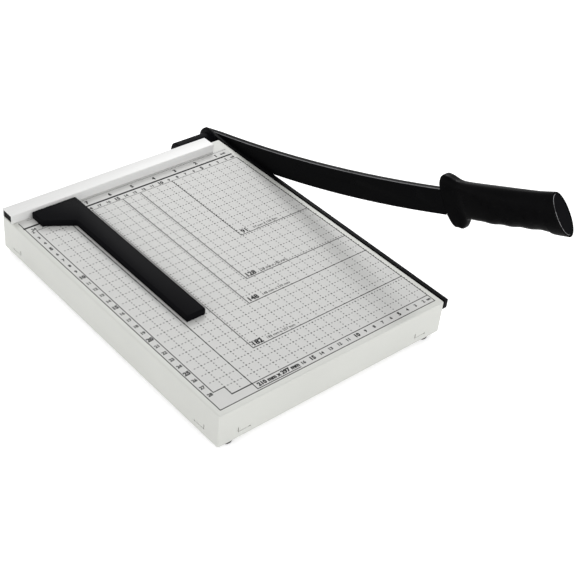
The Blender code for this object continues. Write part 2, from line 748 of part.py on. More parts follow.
def pivot_bush(place, finish):
    bore = BOLT_RADIUS + SEAT_GAP
    rim = bore + BUSH_WALL
    profile = [(-KNIFE_THICKNESS, bore), (-KNIFE_THICKNESS, rim), (0, rim), (0, bore)]
    add("pivot_bush", turned(profile), finish, None, place)


def pressure_spring(arm, finish):
    """The compression spring on the bolt, one wire wound about X."""
    start = pivot_x()[2] - SPRING_WIRE / 2
    pitch = (SPRING_LENGTH - SPRING_WIRE) / SPRING_TURNS
    count = SPRING_TURNS * SPRING_STEPS + 1
    curve = bpy.data.curves.new("pressure_spring", "CURVE")
    curve.dimensions = "3D"
    curve.bevel_depth = SPRING_WIRE / 2
    curve.bevel_resolution = 1
    curve.use_fill_caps = True
    spline = curve.splines.new("POLY")
    spline.points.add(count - 1)
    for i, point in enumerate(spline.points):
        turn = i / SPRING_STEPS
        angle = turn * math.tau
        point.co = (start - turn * pitch, SPRING_RADIUS * math.cos(angle), SPRING_RADIUS * math.sin(angle), 1)
    curve.materials.append(finish)
    obj = bpy.data.objects.new("pressure_spring", curve)
    obj.parent = arm
    bpy.context.scene.collection.objects.link(obj)


def lock_nut(arm, finish):
    """A hexagon nut with the round collar that holds its nylon ring."""
    nut = pivot_x()[4]
    nut_end = pivot_x()[5]
    collar = nut_end + LOCK_NUT_COLLAR_HEIGHT
    bore = BOLT_RADIUS + SEAT_GAP
    obj = add("pivot_lock_nut", hexagon(LOCK_NUT_ACROSS, collar, nut, bore), finish, arm)
    rim = LOCK_NUT_ACROSS / 2 - LOCK_NUT_COLLAR_HEIGHT / 2
    inside = collar + LOCK_NUT_COLLAR_HEIGHT
    profile = [(nut_end, bore), (nut_end, rim), (inside, rim), (inside, bore)]
    boolean(obj, "lock_nut_collar", turned(profile), "UNION")


def cover_sizes():
    """The collar's inner and outer radius, then the cover's."""
    collar_in = WASHER_RADIUS + SEAT_GAP
    collar_out = collar_in + COLLAR_WALL
    cover_in = collar_out + SEAT_GAP
    return collar_in, collar_out, cover_in, cover_in + COVER_WALL


def cover_collar(place, finish):
    """The ring on the ear that the cover pushes on to."""
    collar_in, collar_out, _, _ = cover_sizes()
    near = pivot_x()[1]
    far = near - COLLAR_LENGTH
    profile = [(far, collar_in), (far, collar_out), (near, collar_out), (near, collar_in)]
    add("cover_collar", turned(profile), finish, None, place)


def spring_cover(place, finish):
    """The plastic cap over the spring and its nut, behind the fence."""
    _, _, cover_in, cover_out = cover_sizes()
    near = pivot_x()[1]
    roof = pivot_x()[-1] - COVER_END_ROOM
    far = roof - COVER_END_WALL
    profile = [(roof, 0), (roof, cover_in), (near, cover_in), (near, cover_out),
               (far + COVER_END_ROUNDING, cover_out), (far, cover_out - COVER_END_ROUNDING), (far, 0)]
    add("spring_cover", turned(profile, steps=2 * ROUND_STEPS), finish, None, place)


def curved_height(u, low_u, low_w, radius):
    """The height of a long shallow arc whose lowest point is at low_u, low_w."""
    return low_w + radius - math.sqrt(radius ** 2 - (u - low_u) ** 2)


def top_height(u):
    return curved_height(u, ARM_TOP_LOW_U, ARM_TOP_HEIGHT, ARM_TOP_RADIUS)


def edge_height(u):
    return curved_height(u, EDGE_LOW_U, -EDGE_DROP, EDGE_RADIUS)


def handle_point(along, up):
    """A point of the handle's side view: along its spine, and up its leaning section, as (u, w)."""
    share = along / HANDLE_LENGTH
    lean = HANDLE_FRONT_LEAN + (HANDLE_END_LEAN - HANDLE_FRONT_LEAN) * share
    u = HANDLE_FRONT_U + along * math.cos(HANDLE_TILT) - up * math.sin(lean)
    w = HANDLE_FRONT_W + along * math.sin(HANDLE_TILT) + up * math.cos(lean)
    return u, w


def at_handle_front(height, back):
    """The u at which a long edge of the arm meets the handle's front face, or a little back from it."""
    up = 0
    for _ in range(HANDLE_FRONT_TRIES):
        u, w = handle_point(-back, up)
        up += (height(u) - w) / math.cos(HANDLE_FRONT_LEAN)
    return handle_point(-back, up)


def eye_and_edges(lower, start_u):
    """The arm's outline but for its front end: lower edge backwards, round the eye, top edge forwards."""
    front_low = at_handle_front(lower, SEAT_GAP)
    front_top = at_handle_front(top_height, SEAT_GAP)
    steps = [i / EDGE_STEPS for i in range(EDGE_STEPS + 1)]
    below = [front_low[0] + (start_u - front_low[0]) * t for t in steps]
    points = [(u, lower(u)) for u in below]
    start = tangent_angle(points[-1], (0, 0), ARM_EYE_RADIUS, -1)
    top_angle = math.pi - math.asin(ARM_TOP_HEIGHT / ARM_EYE_RADIUS)
    points += arc((0, 0), ARM_EYE_RADIUS, start, top_angle - math.tau, EYE_STEPS)
    top_start = ARM_EYE_RADIUS * math.cos(top_angle)
    above = [top_start + (front_top[0] - top_start) * t for t in steps[1:]]
    return points + [(u, top_height(u)) for u in above]


def side_plate(outline, low, high):
    """A plate of the arm, from an outline of (u, w): u runs towards the front, which is -Y."""
    return prism([(-u, w) for u, w in outline], low, high, "X")


def arm_holes(low, high):
    """The pivot hole and the rivet holes through a plate."""
    holes = [rod(low - CUT_OVERRUN, high + CUT_OVERRUN, BOLT_RADIUS + SEAT_GAP)]
    for u, w in rivet_places():
        hole = rod(low - CUT_OVERRUN, high + CUT_OVERRUN, RIVET_RADIUS + SEAT_GAP)
        holes.append(shift(hole, (0, -u, w)))
    return holes


def rivet_places():
    step = (RIVET_LAST_U - RIVET_FIRST_U) / (RIVETS - 1)
    places = []
    for i in range(RIVETS):
        u = RIVET_FIRST_U + i * step
        places.append((u, (top_height(u) + edge_height(u) + CARRIER_STEP) / 2))
    return places


def blade(arm, finish):
    """The blade: flat inside, ground on its outer side, where the lower edge therefore lies higher."""
    outline = eye_and_edges(edge_height, EDGE_START_U)
    raised = eye_and_edges(lambda u: edge_height(u) + BLADE_GRIND, EDGE_START_U)
    bm = bmesh.new()
    rings = []
    layers = ((BLADE_X, outline), (BLADE_X + BLADE_LAND, outline), (BLADE_X + BLADE_THICKNESS, raised))
    for x, points in layers:
        rings.append([bm.verts.new((x, -u, w)) for u, w in points])
    for near, far in zip(rings, rings[1:]):
        for i in range(len(near)):
            j = (i + 1) % len(near)
            bm.faces.new((near[i], near[j], far[j], far[i]))
    bm.faces.new(rings[0])
    bm.faces.new(rings[-1])
    obj = add("blade", bm, finish, arm)
    holes = arm_holes(BLADE_X, BLADE_X + BLADE_THICKNESS)
    boolean(obj, "blade_holes", merged(*holes))
    flush = RIVET_FLUSH_RADIUS + SEAT_GAP
    cone = RIVET_FLUSH_RADIUS - RIVET_RADIUS
    sinks = []
    for u, w in rivet_places():
        profile = [(BLADE_X - CUT_OVERRUN, 0), (BLADE_X - CUT_OVERRUN, flush), (BLADE_X, flush),
                   (BLADE_X + cone, RIVET_RADIUS + SEAT_GAP), (BLADE_X + cone, 0)]
        sinks.append(shift(turned(profile), (0, -u, w)))
    boolean(obj, "blade_countersinks", merged(*sinks))


def tang_outline(grow, front):
    """The tang as (u, w): grow widens and lengthens it, for the slot that takes it."""
    up = TANG_HALF_HEIGHT + grow
    end = HANDLE_LENGTH * TANG_LENGTH_SHARE + grow
    return [handle_point(front, -up), handle_point(end, -up), handle_point(end, up), handle_point(front, up)]


def arm_carrier(arm, finish):
    """The outer plate that stiffens the blade and runs on as a tang into the handle."""
    body = eye_and_edges(lambda u: edge_height(u) + CARRIER_STEP, CARRIER_START_U)
    tang = tang_outline(0, -SEAT_GAP)
    outline = body + list(reversed(tang))
    obj = add("arm_carrier", side_plate(outline, CARRIER_X, ARM_OUTER_X), finish, arm)
    holes = arm_holes(CARRIER_X, ARM_OUTER_X)
    for share in HANDLE_SCREW_SHARES:
        u, w = handle_point(share * HANDLE_LENGTH, 0)
        hole = rod(CARRIER_X - CUT_OVERRUN, ARM_OUTER_X + CUT_OVERRUN, HANDLE_SCREW_RADIUS + SEAT_GAP)
        holes.append(shift(hole, (0, -u, w)))
    boolean(obj, "carrier_holes", merged(*holes))


def blade_rivet(name, u, w, arm, finish):
    """A rivet: domed outside, flush inside where the blade slides past the bed knife."""
    inner = BLADE_X + RIVET_SINK
    cone = RIVET_FLUSH_RADIUS - RIVET_RADIUS
    head = ARM_OUTER_X + SEAT_GAP
    profile = [(inner, 0), (inner, RIVET_FLUSH_RADIUS), (inner + cone, RIVET_RADIUS), (head, RIVET_RADIUS)]
    for i in range(RIVET_HEAD_STEPS + 1):
        turn = math.pi / 2 * i / RIVET_HEAD_STEPS
        profile.append((head + RIVET_HEAD_HEIGHT * math.sin(turn), RIVET_HEAD_RADIUS * math.cos(turn)))
    profile[-1] = (profile[-1][0], 0)
    add(name, turned(profile), finish, arm, (0, -u, w))


def between_rows(rows, share):
    """The row of a table of shares at one share along, on a smooth curve through the rows."""
    last = len(rows) - 1
    i = max(k for k in range(last) if rows[k][0] <= share)
    low, high = rows[i], rows[i + 1]
    before, after = rows[max(i - 1, 0)], rows[min(i + 2, last)]
    span = high[0] - low[0]
    t = (share - low[0]) / span
    values = []
    for k in range(1, len(low)):
        slope_low = (high[k] - before[k]) / (high[0] - before[0]) * span
        slope_high = (after[k] - low[k]) / (after[0] - low[0]) * span
        value = (2 * t ** 3 - 3 * t ** 2 + 1) * low[k] + (t ** 3 - 2 * t ** 2 + t) * slope_low
        values.append(value + (3 * t ** 2 - 2 * t ** 3) * high[k] + (t ** 3 - t ** 2) * slope_high)
    return values


def finger_wave(share):
    """The shallow dips for the fingers along the lower side."""
    if not FINGER_START_SHARE < share < FINGER_END_SHARE:
        return 0
    turn = (share - FINGER_START_SHARE) / (FINGER_END_SHARE - FINGER_START_SHARE) * FINGERS * math.tau
    return FINGER_WAVE * (1 - math.cos(turn)) / 2


def handle_ring(share, shrink, along_extra=0):
    """One section of the handle as points (x, u, w)."""
    above, below, flank, square = between_rows(HANDLE_SHARES, min(max(share, 0), 1))
    up = HANDLE_HALF_HEIGHT * above - shrink
    down = HANDLE_HALF_HEIGHT * below - finger_wave(share) - shrink
    flat_inner = BLADE_X
    full_inner = HANDLE_OUTER_X - HANDLE_WIDTH
    inner = flat_inner + (full_inner - flat_inner) * flank + shrink
    outer = HANDLE_OUTER_X - shrink
    points = []
    for i in range(HANDLE_ROUND_STEPS):
        turn = math.tau * i / HANDLE_ROUND_STEPS
        cos = math.copysign(abs(math.cos(turn)) ** (2 / square), math.cos(turn))
        sin = math.copysign(abs(math.sin(turn)) ** (2 / square), math.sin(turn))
        x = (inner + outer) / 2 + (outer - inner) / 2 * cos
        u, w = handle_point(share * HANDLE_LENGTH + along_extra, sin * (up if sin > 0 else down))
        points.append((x, u, w))
    return points


def loft(rings):
    """A closed solid through a row of rings of (x, u, w) points."""
    bm = bmesh.new()
    made = [[bm.verts.new((x, -u, w)) for x, u, w in ring] for ring in rings]
    for near, far in zip(made, made[1:]):
        count = len(near)
        for i in range(count):
            j = (i + 1) % count
            bm.faces.new((near[i], near[j], far[j], far[i]))
    bm.faces.new(made[0])
    bm.faces.new(made[-1])
    return bm


def handle_stations():
    """Shares along the handle: evenly spaced, and each row of the table as well."""
    even = [i / HANDLE_STEPS for i in range(HANDLE_STEPS + 1)]
    rows = [row[0] for row in HANDLE_SHARES]
    kept = [share for share in even if min(abs(share - row) for row in rows) > 1 / HANDLE_STEPS / 2]
    return sorted(kept + rows)


def handle_grip(arm, finish):
    """The moulded grip: thumb rise, guard, finger dips, tang slot, screw holes and the cap's recess."""
    obj = add("handle_grip", loft([handle_ring(share, 0) for share in handle_stations()]), finish, arm)
    slot = side_plate(tang_outline(SEAT_GAP, -CUT_OVERRUN), CARRIER_X - SEAT_GAP, ARM_OUTER_X + SEAT_GAP)
    boolean(obj, "tang_slot", slot)
    recess = loft([handle_ring(1, CAP_WALL, -CAP_DEPTH), handle_ring(1, CAP_WALL, CUT_OVERRUN)])
    boolean(obj, "cap_recess", recess)
    holes = []
    for share in HANDLE_SCREW_SHARES:
        u, w = handle_point(share * HANDLE_LENGTH, 0)
        shaft = HANDLE_SCREW_RADIUS + SEAT_GAP
        head = HANDLE_SCREW_HEAD_RADIUS + SEAT_GAP
        seat = HANDLE_OUTER_X - HANDLE_SCREW_SEAT
        tip = CARRIER_X - SEAT_GAP - HANDLE_SCREW_REACH - SEAT_GAP
        mouth = HANDLE_OUTER_X + CUT_OVERRUN
        profile = [(tip, 0), (tip, shaft), (seat, shaft), (seat, head), (mouth, head), (mouth, 0)]
        holes.append(shift(turned(profile), (0, -u, w)))
    boolean(obj, "handle_screw_holes", merged(*holes))


def handle_screw(name, share, arm, finish):
    u, w = handle_point(share * HANDLE_LENGTH, 0)
    seat = HANDLE_OUTER_X - HANDLE_SCREW_SEAT + SEAT_GAP
    tip = CARRIER_X - SEAT_GAP - HANDLE_SCREW_REACH
    head = seat + HANDLE_SCREW_HEAD_HEIGHT
    profile = [(tip, 0), (tip, HANDLE_SCREW_RADIUS), (seat, HANDLE_SCREW_RADIUS),
               (seat, HANDLE_SCREW_HEAD_RADIUS), (head, HANDLE_SCREW_HEAD_RADIUS), (head, 0)]
    add(name, turned(profile), finish, arm, (0, -u, w))


def handle_end_cap(arm, finish):
    """The oval cap that closes the grip's slanted end."""
    shrink = CAP_WALL + SEAT_GAP
    bm = loft([handle_ring(1, shrink, SEAT_GAP - CAP_DEPTH), handle_ring(1, shrink)])
    add("handle_end_cap", bm, finish, arm)


def guide_outline():
    """The guide's plan: a bar with a wider head, whose diagonal runs from the bar to the head's side."""
    right = CUT_X - GUIDE_FROM_CUT
    left = right - GUIDE_BAR_WIDTH
    head = right - GUIDE_HEAD_WIDTH
    rear = FENCE_FRONT - SEAT_GAP
    return [
        (right, rear),
        (right, rear - GUIDE_LENGTH),
        (left, rear - GUIDE_LENGTH),
        (left, rear - GUIDE_HEAD_DEPTH),
        (head, rear - GUIDE_HEAD_SIDE),
        (head, rear),
    ]


def magnet_boxes(grow):
    """The magnets' boxes, along the bar; grow makes them pockets."""
    right = CUT_X - GUIDE_FROM_CUT
    middle = right - GUIDE_BAR_WIDTH / 2
    rear = FENCE_FRONT - SEAT_GAP
    boxes = []
    for share in MAGNET_SETBACK_SHARES:
        y = rear - share * GUIDE_LENGTH
        half_width = MAGNET_WIDTH / 2 + grow
        half_length = MAGNET_LENGTH / 2 + grow
        low = SEAT_GAP - (CUT_OVERRUN if grow else 0)
        boxes.append(((middle - half_width, y - half_length, low),
                      (middle + half_width, y + half_length, SEAT_GAP + MAGNET_HEIGHT + grow)))
    return boxes


def paper_guide(slide, finish):
    place = slide.location
    bm = prism(guide_outline(), SEAT_GAP, SEAT_GAP + GUIDE_THICKNESS, "Z")
    tall = GUIDE_THICKNESS / 2
    bevelled(bm, GUIDE_CORNER, ROUNDING_STEPS, lambda e: abs(e.verts[0].co.z - e.verts[1].co.z) > tall)
    bevelled(bm, GUIDE_ROUNDING, ROUNDING_STEPS, lambda e: min(v.co.z for v in e.verts) > tall)
    obj = add("paper_guide", shift(bm, -place), finish, slide)
    pockets = merged(*[block(low, high) for low, high in magnet_boxes(SEAT_GAP)])
    boolean(obj, "magnet_pockets", shift(pockets, -place))


def guide_magnets(slide, finish):
    for name, (low, high) in zip(("rear", "middle", "front"), magnet_boxes(0)):
        add("guide_magnet_" + name, shift(block(low, high), -slide.location), finish, slide)


def set_down():
    """Hangs everything on one empty, so that the middle of its box stands on the origin."""
    bpy.context.view_layer.update()
    graph = bpy.context.evaluated_depsgraph_get()
    points = []
    for obj in bpy.context.scene.objects:
        if obj.type == "EMPTY" or obj.hide_render:
            continue
        shape = obj.evaluated_get(graph)
        points += [shape.matrix_world @ vert.co for vert in shape.to_mesh().vertices]
        shape.to_mesh_clear()
    low = Vector(min(values) for values in zip(*points))
    high = Vector(max(values) for values in zip(*points))
    middle = (low + high) / 2
    loose = [obj for obj in bpy.context.scene.objects if obj.parent is None]
    cutter = pivot_empty("cutter", (-middle.x, -middle.y, -low.z))
    for obj in loose:
        obj.parent = cutter


def build():
    clear_scene()
    painted = material("light_grey_paint", (0.66, 0.67, 0.65), 0.45)
    zinc = material("zinc_plated_steel", (0.55, 0.56, 0.57), 0.35, 1.0)
    black_steel = material("black_steel", (0.012, 0.012, 0.013), 0.38, 0.2)
    white_plastic = material("white_plastic", (0.74, 0.74, 0.74), 0.4)
    black_plastic = material("black_plastic", (0.010, 0.010, 0.011), 0.3)
    rubber = material("black_rubber", (0.015, 0.015, 0.015), 0.8)
    magnet = material("dark_ferrite", (0.05, 0.05, 0.055), 0.6)
    bronze = material("bronze", (0.45, 0.30, 0.14), 0.4, 1.0)

    base_shell(painted)
    table_stiffener("table_stiffener_front", -STIFFENER_SPACING / 2, painted)
    table_stiffener("table_stiffener_rear", STIFFENER_SPACING / 2, painted)
    for corner, side_x, side_y in each_corner():
        x, y = foot_place(side_x, side_y)
        foot_block("foot_block_" + corner, side_x, side_y, black_plastic)
        foot("foot_" + corner, x, y, rubber)
        foot_screw("foot_screw_" + corner, x, y, zinc)

    rear_fence(white_plastic)
    fence_plug("fence_plug_left", -1, black_plastic)
    fence_plug("fence_plug_right", 1, black_plastic)
    for i, x in enumerate(fence_screw_places()):
        fence_screw(f"fence_screw_{i + 1}", x, zinc)

    bed_knife(black_steel)
    for i, y in enumerate(knife_screw_places()):
        knife_screw(f"knife_screw_{i + 1}", y, black_steel)
        knife_nut(f"knife_nut_{i + 1}", y, zinc)

    place = (CUT_X, PIVOT_Y, PIVOT_Z)
    pivot_bush(place, bronze)
    cover_collar(place, zinc)
    spring_cover(place, black_plastic)

    arm = pivot_empty("arm_pivot", place, -REST_ANGLE)
    blade(arm, black_steel)
    arm_carrier(arm, black_steel)
    for i, (u, w) in enumerate(rivet_places()):
        blade_rivet(f"blade_rivet_{i + 1}", u, w, arm, black_steel)
    handle_grip(arm, black_plastic)
    handle_end_cap(arm, black_plastic)
    for i, share in enumerate(HANDLE_SCREW_SHARES):
        handle_screw(f"handle_screw_{i + 1}", share, arm, zinc)
    pivot_bolt(arm, zinc)
    washer("pivot_washer_outer", ARM_OUTER_X + SEAT_GAP, arm, zinc)
    washer("spring_washer_inner", pivot_x()[1] - WASHER_THICKNESS, arm, zinc)
    pressure_spring(arm, zinc)
    washer("spring_washer_outer", pivot_x()[3] - WASHER_THICKNESS, arm, zinc)
    lock_nut(arm, zinc)

    slide = pivot_empty("guide_slide", (CUT_X - GUIDE_FROM_CUT - GUIDE_BAR_WIDTH / 2, FENCE_FRONT, 0))
    paper_guide(slide, black_plastic)
    guide_magnets(slide, magnet)
    set_down()


build()
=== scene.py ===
import json
import math

import bmesh
import bpy
from mathutils import Matrix, Vector

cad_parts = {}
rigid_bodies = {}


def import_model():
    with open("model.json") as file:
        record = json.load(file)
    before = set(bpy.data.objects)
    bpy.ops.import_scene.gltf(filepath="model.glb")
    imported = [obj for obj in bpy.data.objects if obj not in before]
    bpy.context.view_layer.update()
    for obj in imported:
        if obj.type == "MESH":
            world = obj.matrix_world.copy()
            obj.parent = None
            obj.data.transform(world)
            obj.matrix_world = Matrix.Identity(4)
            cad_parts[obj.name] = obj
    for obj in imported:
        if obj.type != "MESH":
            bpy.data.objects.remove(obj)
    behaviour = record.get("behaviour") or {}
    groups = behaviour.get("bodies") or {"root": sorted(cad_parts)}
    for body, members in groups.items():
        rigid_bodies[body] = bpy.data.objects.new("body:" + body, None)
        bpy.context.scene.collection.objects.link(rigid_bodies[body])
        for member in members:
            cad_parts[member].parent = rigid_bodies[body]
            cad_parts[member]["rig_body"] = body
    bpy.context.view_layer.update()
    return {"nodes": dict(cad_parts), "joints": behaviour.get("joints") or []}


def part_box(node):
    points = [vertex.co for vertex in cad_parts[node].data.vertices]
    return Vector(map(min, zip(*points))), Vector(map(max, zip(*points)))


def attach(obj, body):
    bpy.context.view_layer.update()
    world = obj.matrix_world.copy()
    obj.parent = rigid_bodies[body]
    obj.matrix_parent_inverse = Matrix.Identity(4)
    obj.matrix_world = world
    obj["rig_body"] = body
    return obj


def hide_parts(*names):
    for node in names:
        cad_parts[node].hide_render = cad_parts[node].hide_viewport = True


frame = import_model()

# Pressed base
# One sheet of 1.2 mm steel, drawn into a box that is open below, with a flange turned in round its mouth.
# Eight tabs are lanced in its walls, and each shows as an L-shaped slit with a pierced end. Sprayed light
# grey and stoved before anything is screwed to it.
MM = 0.001
FINE = 1e-6
SHEET = 1.2 * MM
CORNER_RADIUS = 1.8 * MM
EDGE_RADIUS = 1.6 * MM
BEND_SEGMENTS = 8
FLANGE_WIDTH = 22 * MM
OVERRUN = 2 * MM
TAB_WIDTH = 12.5 * MM
TAB_HEIGHT = 5 * MM
TAB_SLIT = 0.5 * MM
TAB_UPRIGHT = 0.9 * MM
TAB_PIERCE = 0.75 * MM
TAB_LIFT = 5.9 * MM
TAB_INSET_X = 26 * MM
TAB_INSET_Y = 24 * MM
HOLE_ROOM = 0.3 * MM
HOLE_DEPTH = 2 * SHEET + OVERRUN

base_low, base_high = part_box("base_shell")
table_z = base_high.z
table_middle = Vector(((base_low.x + base_high.x) / 2, (base_low.y + base_high.y) / 2, table_z))


def alone(obj):
    """Leaves only this object selected and active."""
    bpy.ops.object.select_all(action="DESELECT")
    obj.select_set(True)
    bpy.context.view_layer.objects.active = obj


def edit(obj, mode):
    """Opens an object for editing with points, edges or faces to pick, and with nothing picked."""
    alone(obj)
    bpy.ops.object.mode_set(mode="EDIT")
    bpy.ops.mesh.select_mode(type=mode)
    bpy.ops.mesh.select_all(action="DESELECT")


def pick(obj, wanted):
    """Picks the faces or edges, whichever the mode is, for which wanted(item) is true."""
    mesh = bmesh.from_edit_mesh(obj.data)
    for point in mesh.verts:
        point.select = False
    for item in (mesh.faces if bpy.context.tool_settings.mesh_select_mode[2] else mesh.edges):
        item.select_set(bool(wanted(item)))
    mesh.select_flush_mode()
    bmesh.update_edit_mesh(obj.data)


def leave_edit():
    """Goes back from editing to the whole object."""
    bpy.ops.object.mode_set(mode="OBJECT")


def box_between(name, low, high):
    """A cube primitive stretched between two corners, its place in its mesh."""
    bpy.ops.object.select_all(action="DESELECT")
    middle = [(a + b) / 2 for a, b in zip(low, high)]
    bpy.ops.mesh.primitive_cube_add(size=1, location=middle, scale=[b - a for a, b in zip(low, high)])
    made = bpy.context.object
    made.name = name
    bpy.ops.object.transform_apply(location=True, rotation=True, scale=True)
    return made


def rod_at(name, place, radius, depth, axis="Z", sides=32):
    """A round bar through a place, along an axis, its place in its mesh."""
    turn = {"X": (0, math.pi / 2, 0), "Y": (math.pi / 2, 0, 0), "Z": (0, 0, 0)}[axis]
    bpy.ops.object.select_all(action="DESELECT")
    bpy.ops.mesh.primitive_cylinder_add(vertices=sides, radius=radius, depth=depth, location=place,
                                        rotation=turn)
    made = bpy.context.object
    made.name = name
    bpy.ops.object.transform_apply(location=True, rotation=True, scale=True)
    return made


def apply_modifier(obj, kind, **settings):
    """Puts a modifier with its settings on an object and applies it."""
    alone(obj)
    modifier = obj.modifiers.new(kind.title(), kind)
    for name, value in settings.items():
        setattr(modifier, name, value)
    bpy.ops.object.modifier_apply(modifier=modifier.name)


def join(parts):
    """Joins objects into the first of them."""
    alone(parts[0])
    for part in parts[1:]:
        part.select_set(True)
    bpy.ops.object.join()
    return parts[0]


def carve(obj, cutters, operation="DIFFERENCE"):
    """Cuts the cutters out of an object, or welds them to it, and removes them."""
    cutter = join(cutters)
    apply_modifier(obj, "BOOLEAN", object=cutter, operation=operation, solver="EXACT")
    bpy.data.objects.remove(cutter, do_unlink=True)


def smooth(obj, angle=30):
    """Shades an object smooth, apart from edges sharper than so many degrees."""
    alone(obj)
    bpy.ops.object.shade_smooth_by_angle(angle=math.radians(angle))


def linear(code):
    """The linear colour of an sRGB hex value."""
    parts = [int(code[i:i + 2], 16) / 255 for i in (1, 3, 5)]
    return [c / 12.92 if c <= 0.04045 else ((c + 0.055) / 1.055) ** 2.4 for c in parts] + [1]


def add_node(tree, kind, inputs=None, stops=None, **settings):
    """Adds a shader node with its settings; an input's value is a number, a colour or a socket to link.

    A ramp's stops are the positions of its two ends, each with its colour.
    """
    made = tree.nodes.new(kind)
    for name, value in settings.items():
        setattr(made, name, value)
    for name, value in (inputs or {}).items():
        if isinstance(value, bpy.types.NodeSocket):
            tree.links.new(value, made.inputs[name])
        else:
            made.inputs[name].default_value = value
    if stops:
        for end, (position, colour) in zip(made.color_ramp.elements, stops.items()):
            end.position = position
            end.color = colour
    return made


def new_material(name, **values):
    """A material with its node tree and its Principled shader, on whose own sockets the values go."""
    made = bpy.data.materials.new(name)
    made.use_nodes = True
    shader = made.node_tree.nodes["Principled BSDF"]
    for key, value in values.items():
        shader.inputs[key.replace("_", " ")].default_value = value
    return made, made.node_tree, shader


def grey(value):
    """A grey for a ramp that gives a number, such as a roughness."""
    return value, value, value, 1


def link_finish(tree, shader, tone, rough, bump=None):
    """Links a finish's colour, its roughness and, if it has one, its bump to the shader."""
    tree.links.new(tone.outputs["Color"], shader.inputs["Base Color"])
    tree.links.new(rough.outputs["Color"], shader.inputs["Roughness"])
    if bump:
        tree.links.new(bump.outputs["Normal"], shader.inputs["Normal"])


# Stoved enamel, sprayed: a satin coat with a faint orange peel about 1.3 mm across, which breaks the
# highlight along the bends, and a barely uneven film that keeps the large flats from looking cut out.
ORANGE_PEEL = 1.3 * MM
PEEL_DEPTH = 0.012 * MM
FILM_PATCH = 70 * MM
enamel, tree, shader = new_material("stoved_grey_enamel", IOR=1.5, Specular_IOR_Level=0.35)
place = add_node(tree, "ShaderNodeTexCoord").outputs["Object"]
patches = add_node(tree, "ShaderNodeTexNoise", {"Vector": place, "Scale": 1 / FILM_PATCH, "Detail": 3.0})
tone = add_node(tree, "ShaderNodeValToRGB", {"Fac": patches.outputs["Fac"]},
                stops={0.3: linear("#D4D5D0"), 0.7: linear("#D8D9D4")})
peel = add_node(tree, "ShaderNodeTexNoise", {"Vector": place, "Scale": 1 / ORANGE_PEEL, "Detail": 1.0})
rough = add_node(tree, "ShaderNodeValToRGB", {"Fac": peel.outputs["Fac"]},
                 stops={0.3: grey(0.40), 0.7: grey(0.47)})
bump = add_node(tree, "ShaderNodeBump",
                {"Height": peel.outputs["Fac"], "Distance": PEEL_DEPTH, "Strength": 0.6})
link_finish(tree, shader, tone, rough, bump)


def tray(name, low, high, corner, rim=0.0):
    """A box with rounded upright edges and, if asked, a rounded rim round its top."""
    made = box_between(name, low, high)
    edit(made, "EDGE")
    tall = (high[2] - low[2]) / 2
    pick(made, lambda e: abs(e.verts[0].co.z - e.verts[1].co.z) > tall)
    bpy.ops.mesh.bevel(offset=corner, segments=BEND_SEGMENTS)
    if rim:
        pick(made, lambda e: min(v.co.z for v in e.verts) > high[2] - FINE)
        bpy.ops.mesh.bevel(offset=rim, segments=BEND_SEGMENTS)
    leave_edit()
    return made


wall = Vector((SHEET, SHEET, SHEET))
flange = Vector((FLANGE_WIDTH, FLANGE_WIDTH, 0))
past = Vector((0, 0, OVERRUN))
base = tray("pressed_base", base_low, base_high, CORNER_RADIUS, EDGE_RADIUS)
carve(base, [tray("inside", base_low + wall, base_high - wall, CORNER_RADIUS - SHEET, EDGE_RADIUS - SHEET)])
mouth_top = Vector((base_high.x, base_high.y, base_low.z + SHEET))
carve(base, [tray("mouth", base_low + flange - past, mouth_top - flange + past, CORNER_RADIUS)])

slits = []
for side_x in (-1, 1):
    for side_y in (-1, 1):
        corner = (table_middle.x + side_x * (base_high.x - base_low.x) / 2,
                  table_middle.y + side_y * (base_high.y - base_low.y) / 2)
        low = base_low.z + TAB_LIFT
        end_tab = Vector((corner[0] - side_x * TAB_INSET_X, corner[1], low))
        side_tab = Vector((corner[0], corner[1] - side_y * TAB_INSET_Y, low))
        depth = SHEET + OVERRUN
        for along, out, middle in ((Vector((1, 0, 0)), Vector((0, side_y, 0)), end_tab),
                                   (Vector((0, 1, 0)), Vector((side_x, 0, 0)), side_tab)):
            for start, end, rise in ((-TAB_WIDTH / 2, TAB_WIDTH / 2, TAB_SLIT),
                                     (-TAB_WIDTH / 2, TAB_UPRIGHT - TAB_WIDTH / 2, TAB_HEIGHT)):
                a = middle + along * start + out * depth
                b = middle + along * end - out * depth
                slits.append(box_between("slit", (min(a.x, b.x), min(a.y, b.y), low),
                                         (max(a.x, b.x), max(a.y, b.y), low + rise)))
            pierce = middle + along * TAB_WIDTH / 2 + Vector((0, 0, TAB_SLIT / 2))
            slits.append(rod_at("pierce", pierce, TAB_PIERCE, 2 * depth, "Y" if along.x else "X"))
for slit in slits:
    carve(base, [slit])

holes = []
for name in frame["nodes"]:
    if name.startswith(("foot_screw", "fence_screw", "knife_screw")):
        low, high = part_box(name)
        spot = (low + high) / 2
        across_wall = name.startswith("knife")
        width = (high.y - low.y) if across_wall else (high.x - low.x)
        if name.startswith("foot"):
            spot.z = base_low.z
        elif across_wall:
            spot.x = base_high.x
        else:
            spot.z = base_high.z
        holes.append(rod_at("hole", spot, width / 4 + HOLE_ROOM, HOLE_DEPTH, "X" if across_wall else "Z"))
carve(base, holes)
smooth(base)
base.data.materials.append(enamel)
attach(base, "root")
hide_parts("base_shell")

# Stiffeners, foot blocks, hidden screws and nuts
# Hat sections of bent sheet, sprayed with the base, four nylon blocks that lie on the flange under the tabs,
# and zinc-plated screws and nuts. They are seen only from below, where their edges need a small rounding to
# catch the light.
FLAT_WITHIN = math.radians(0.5)


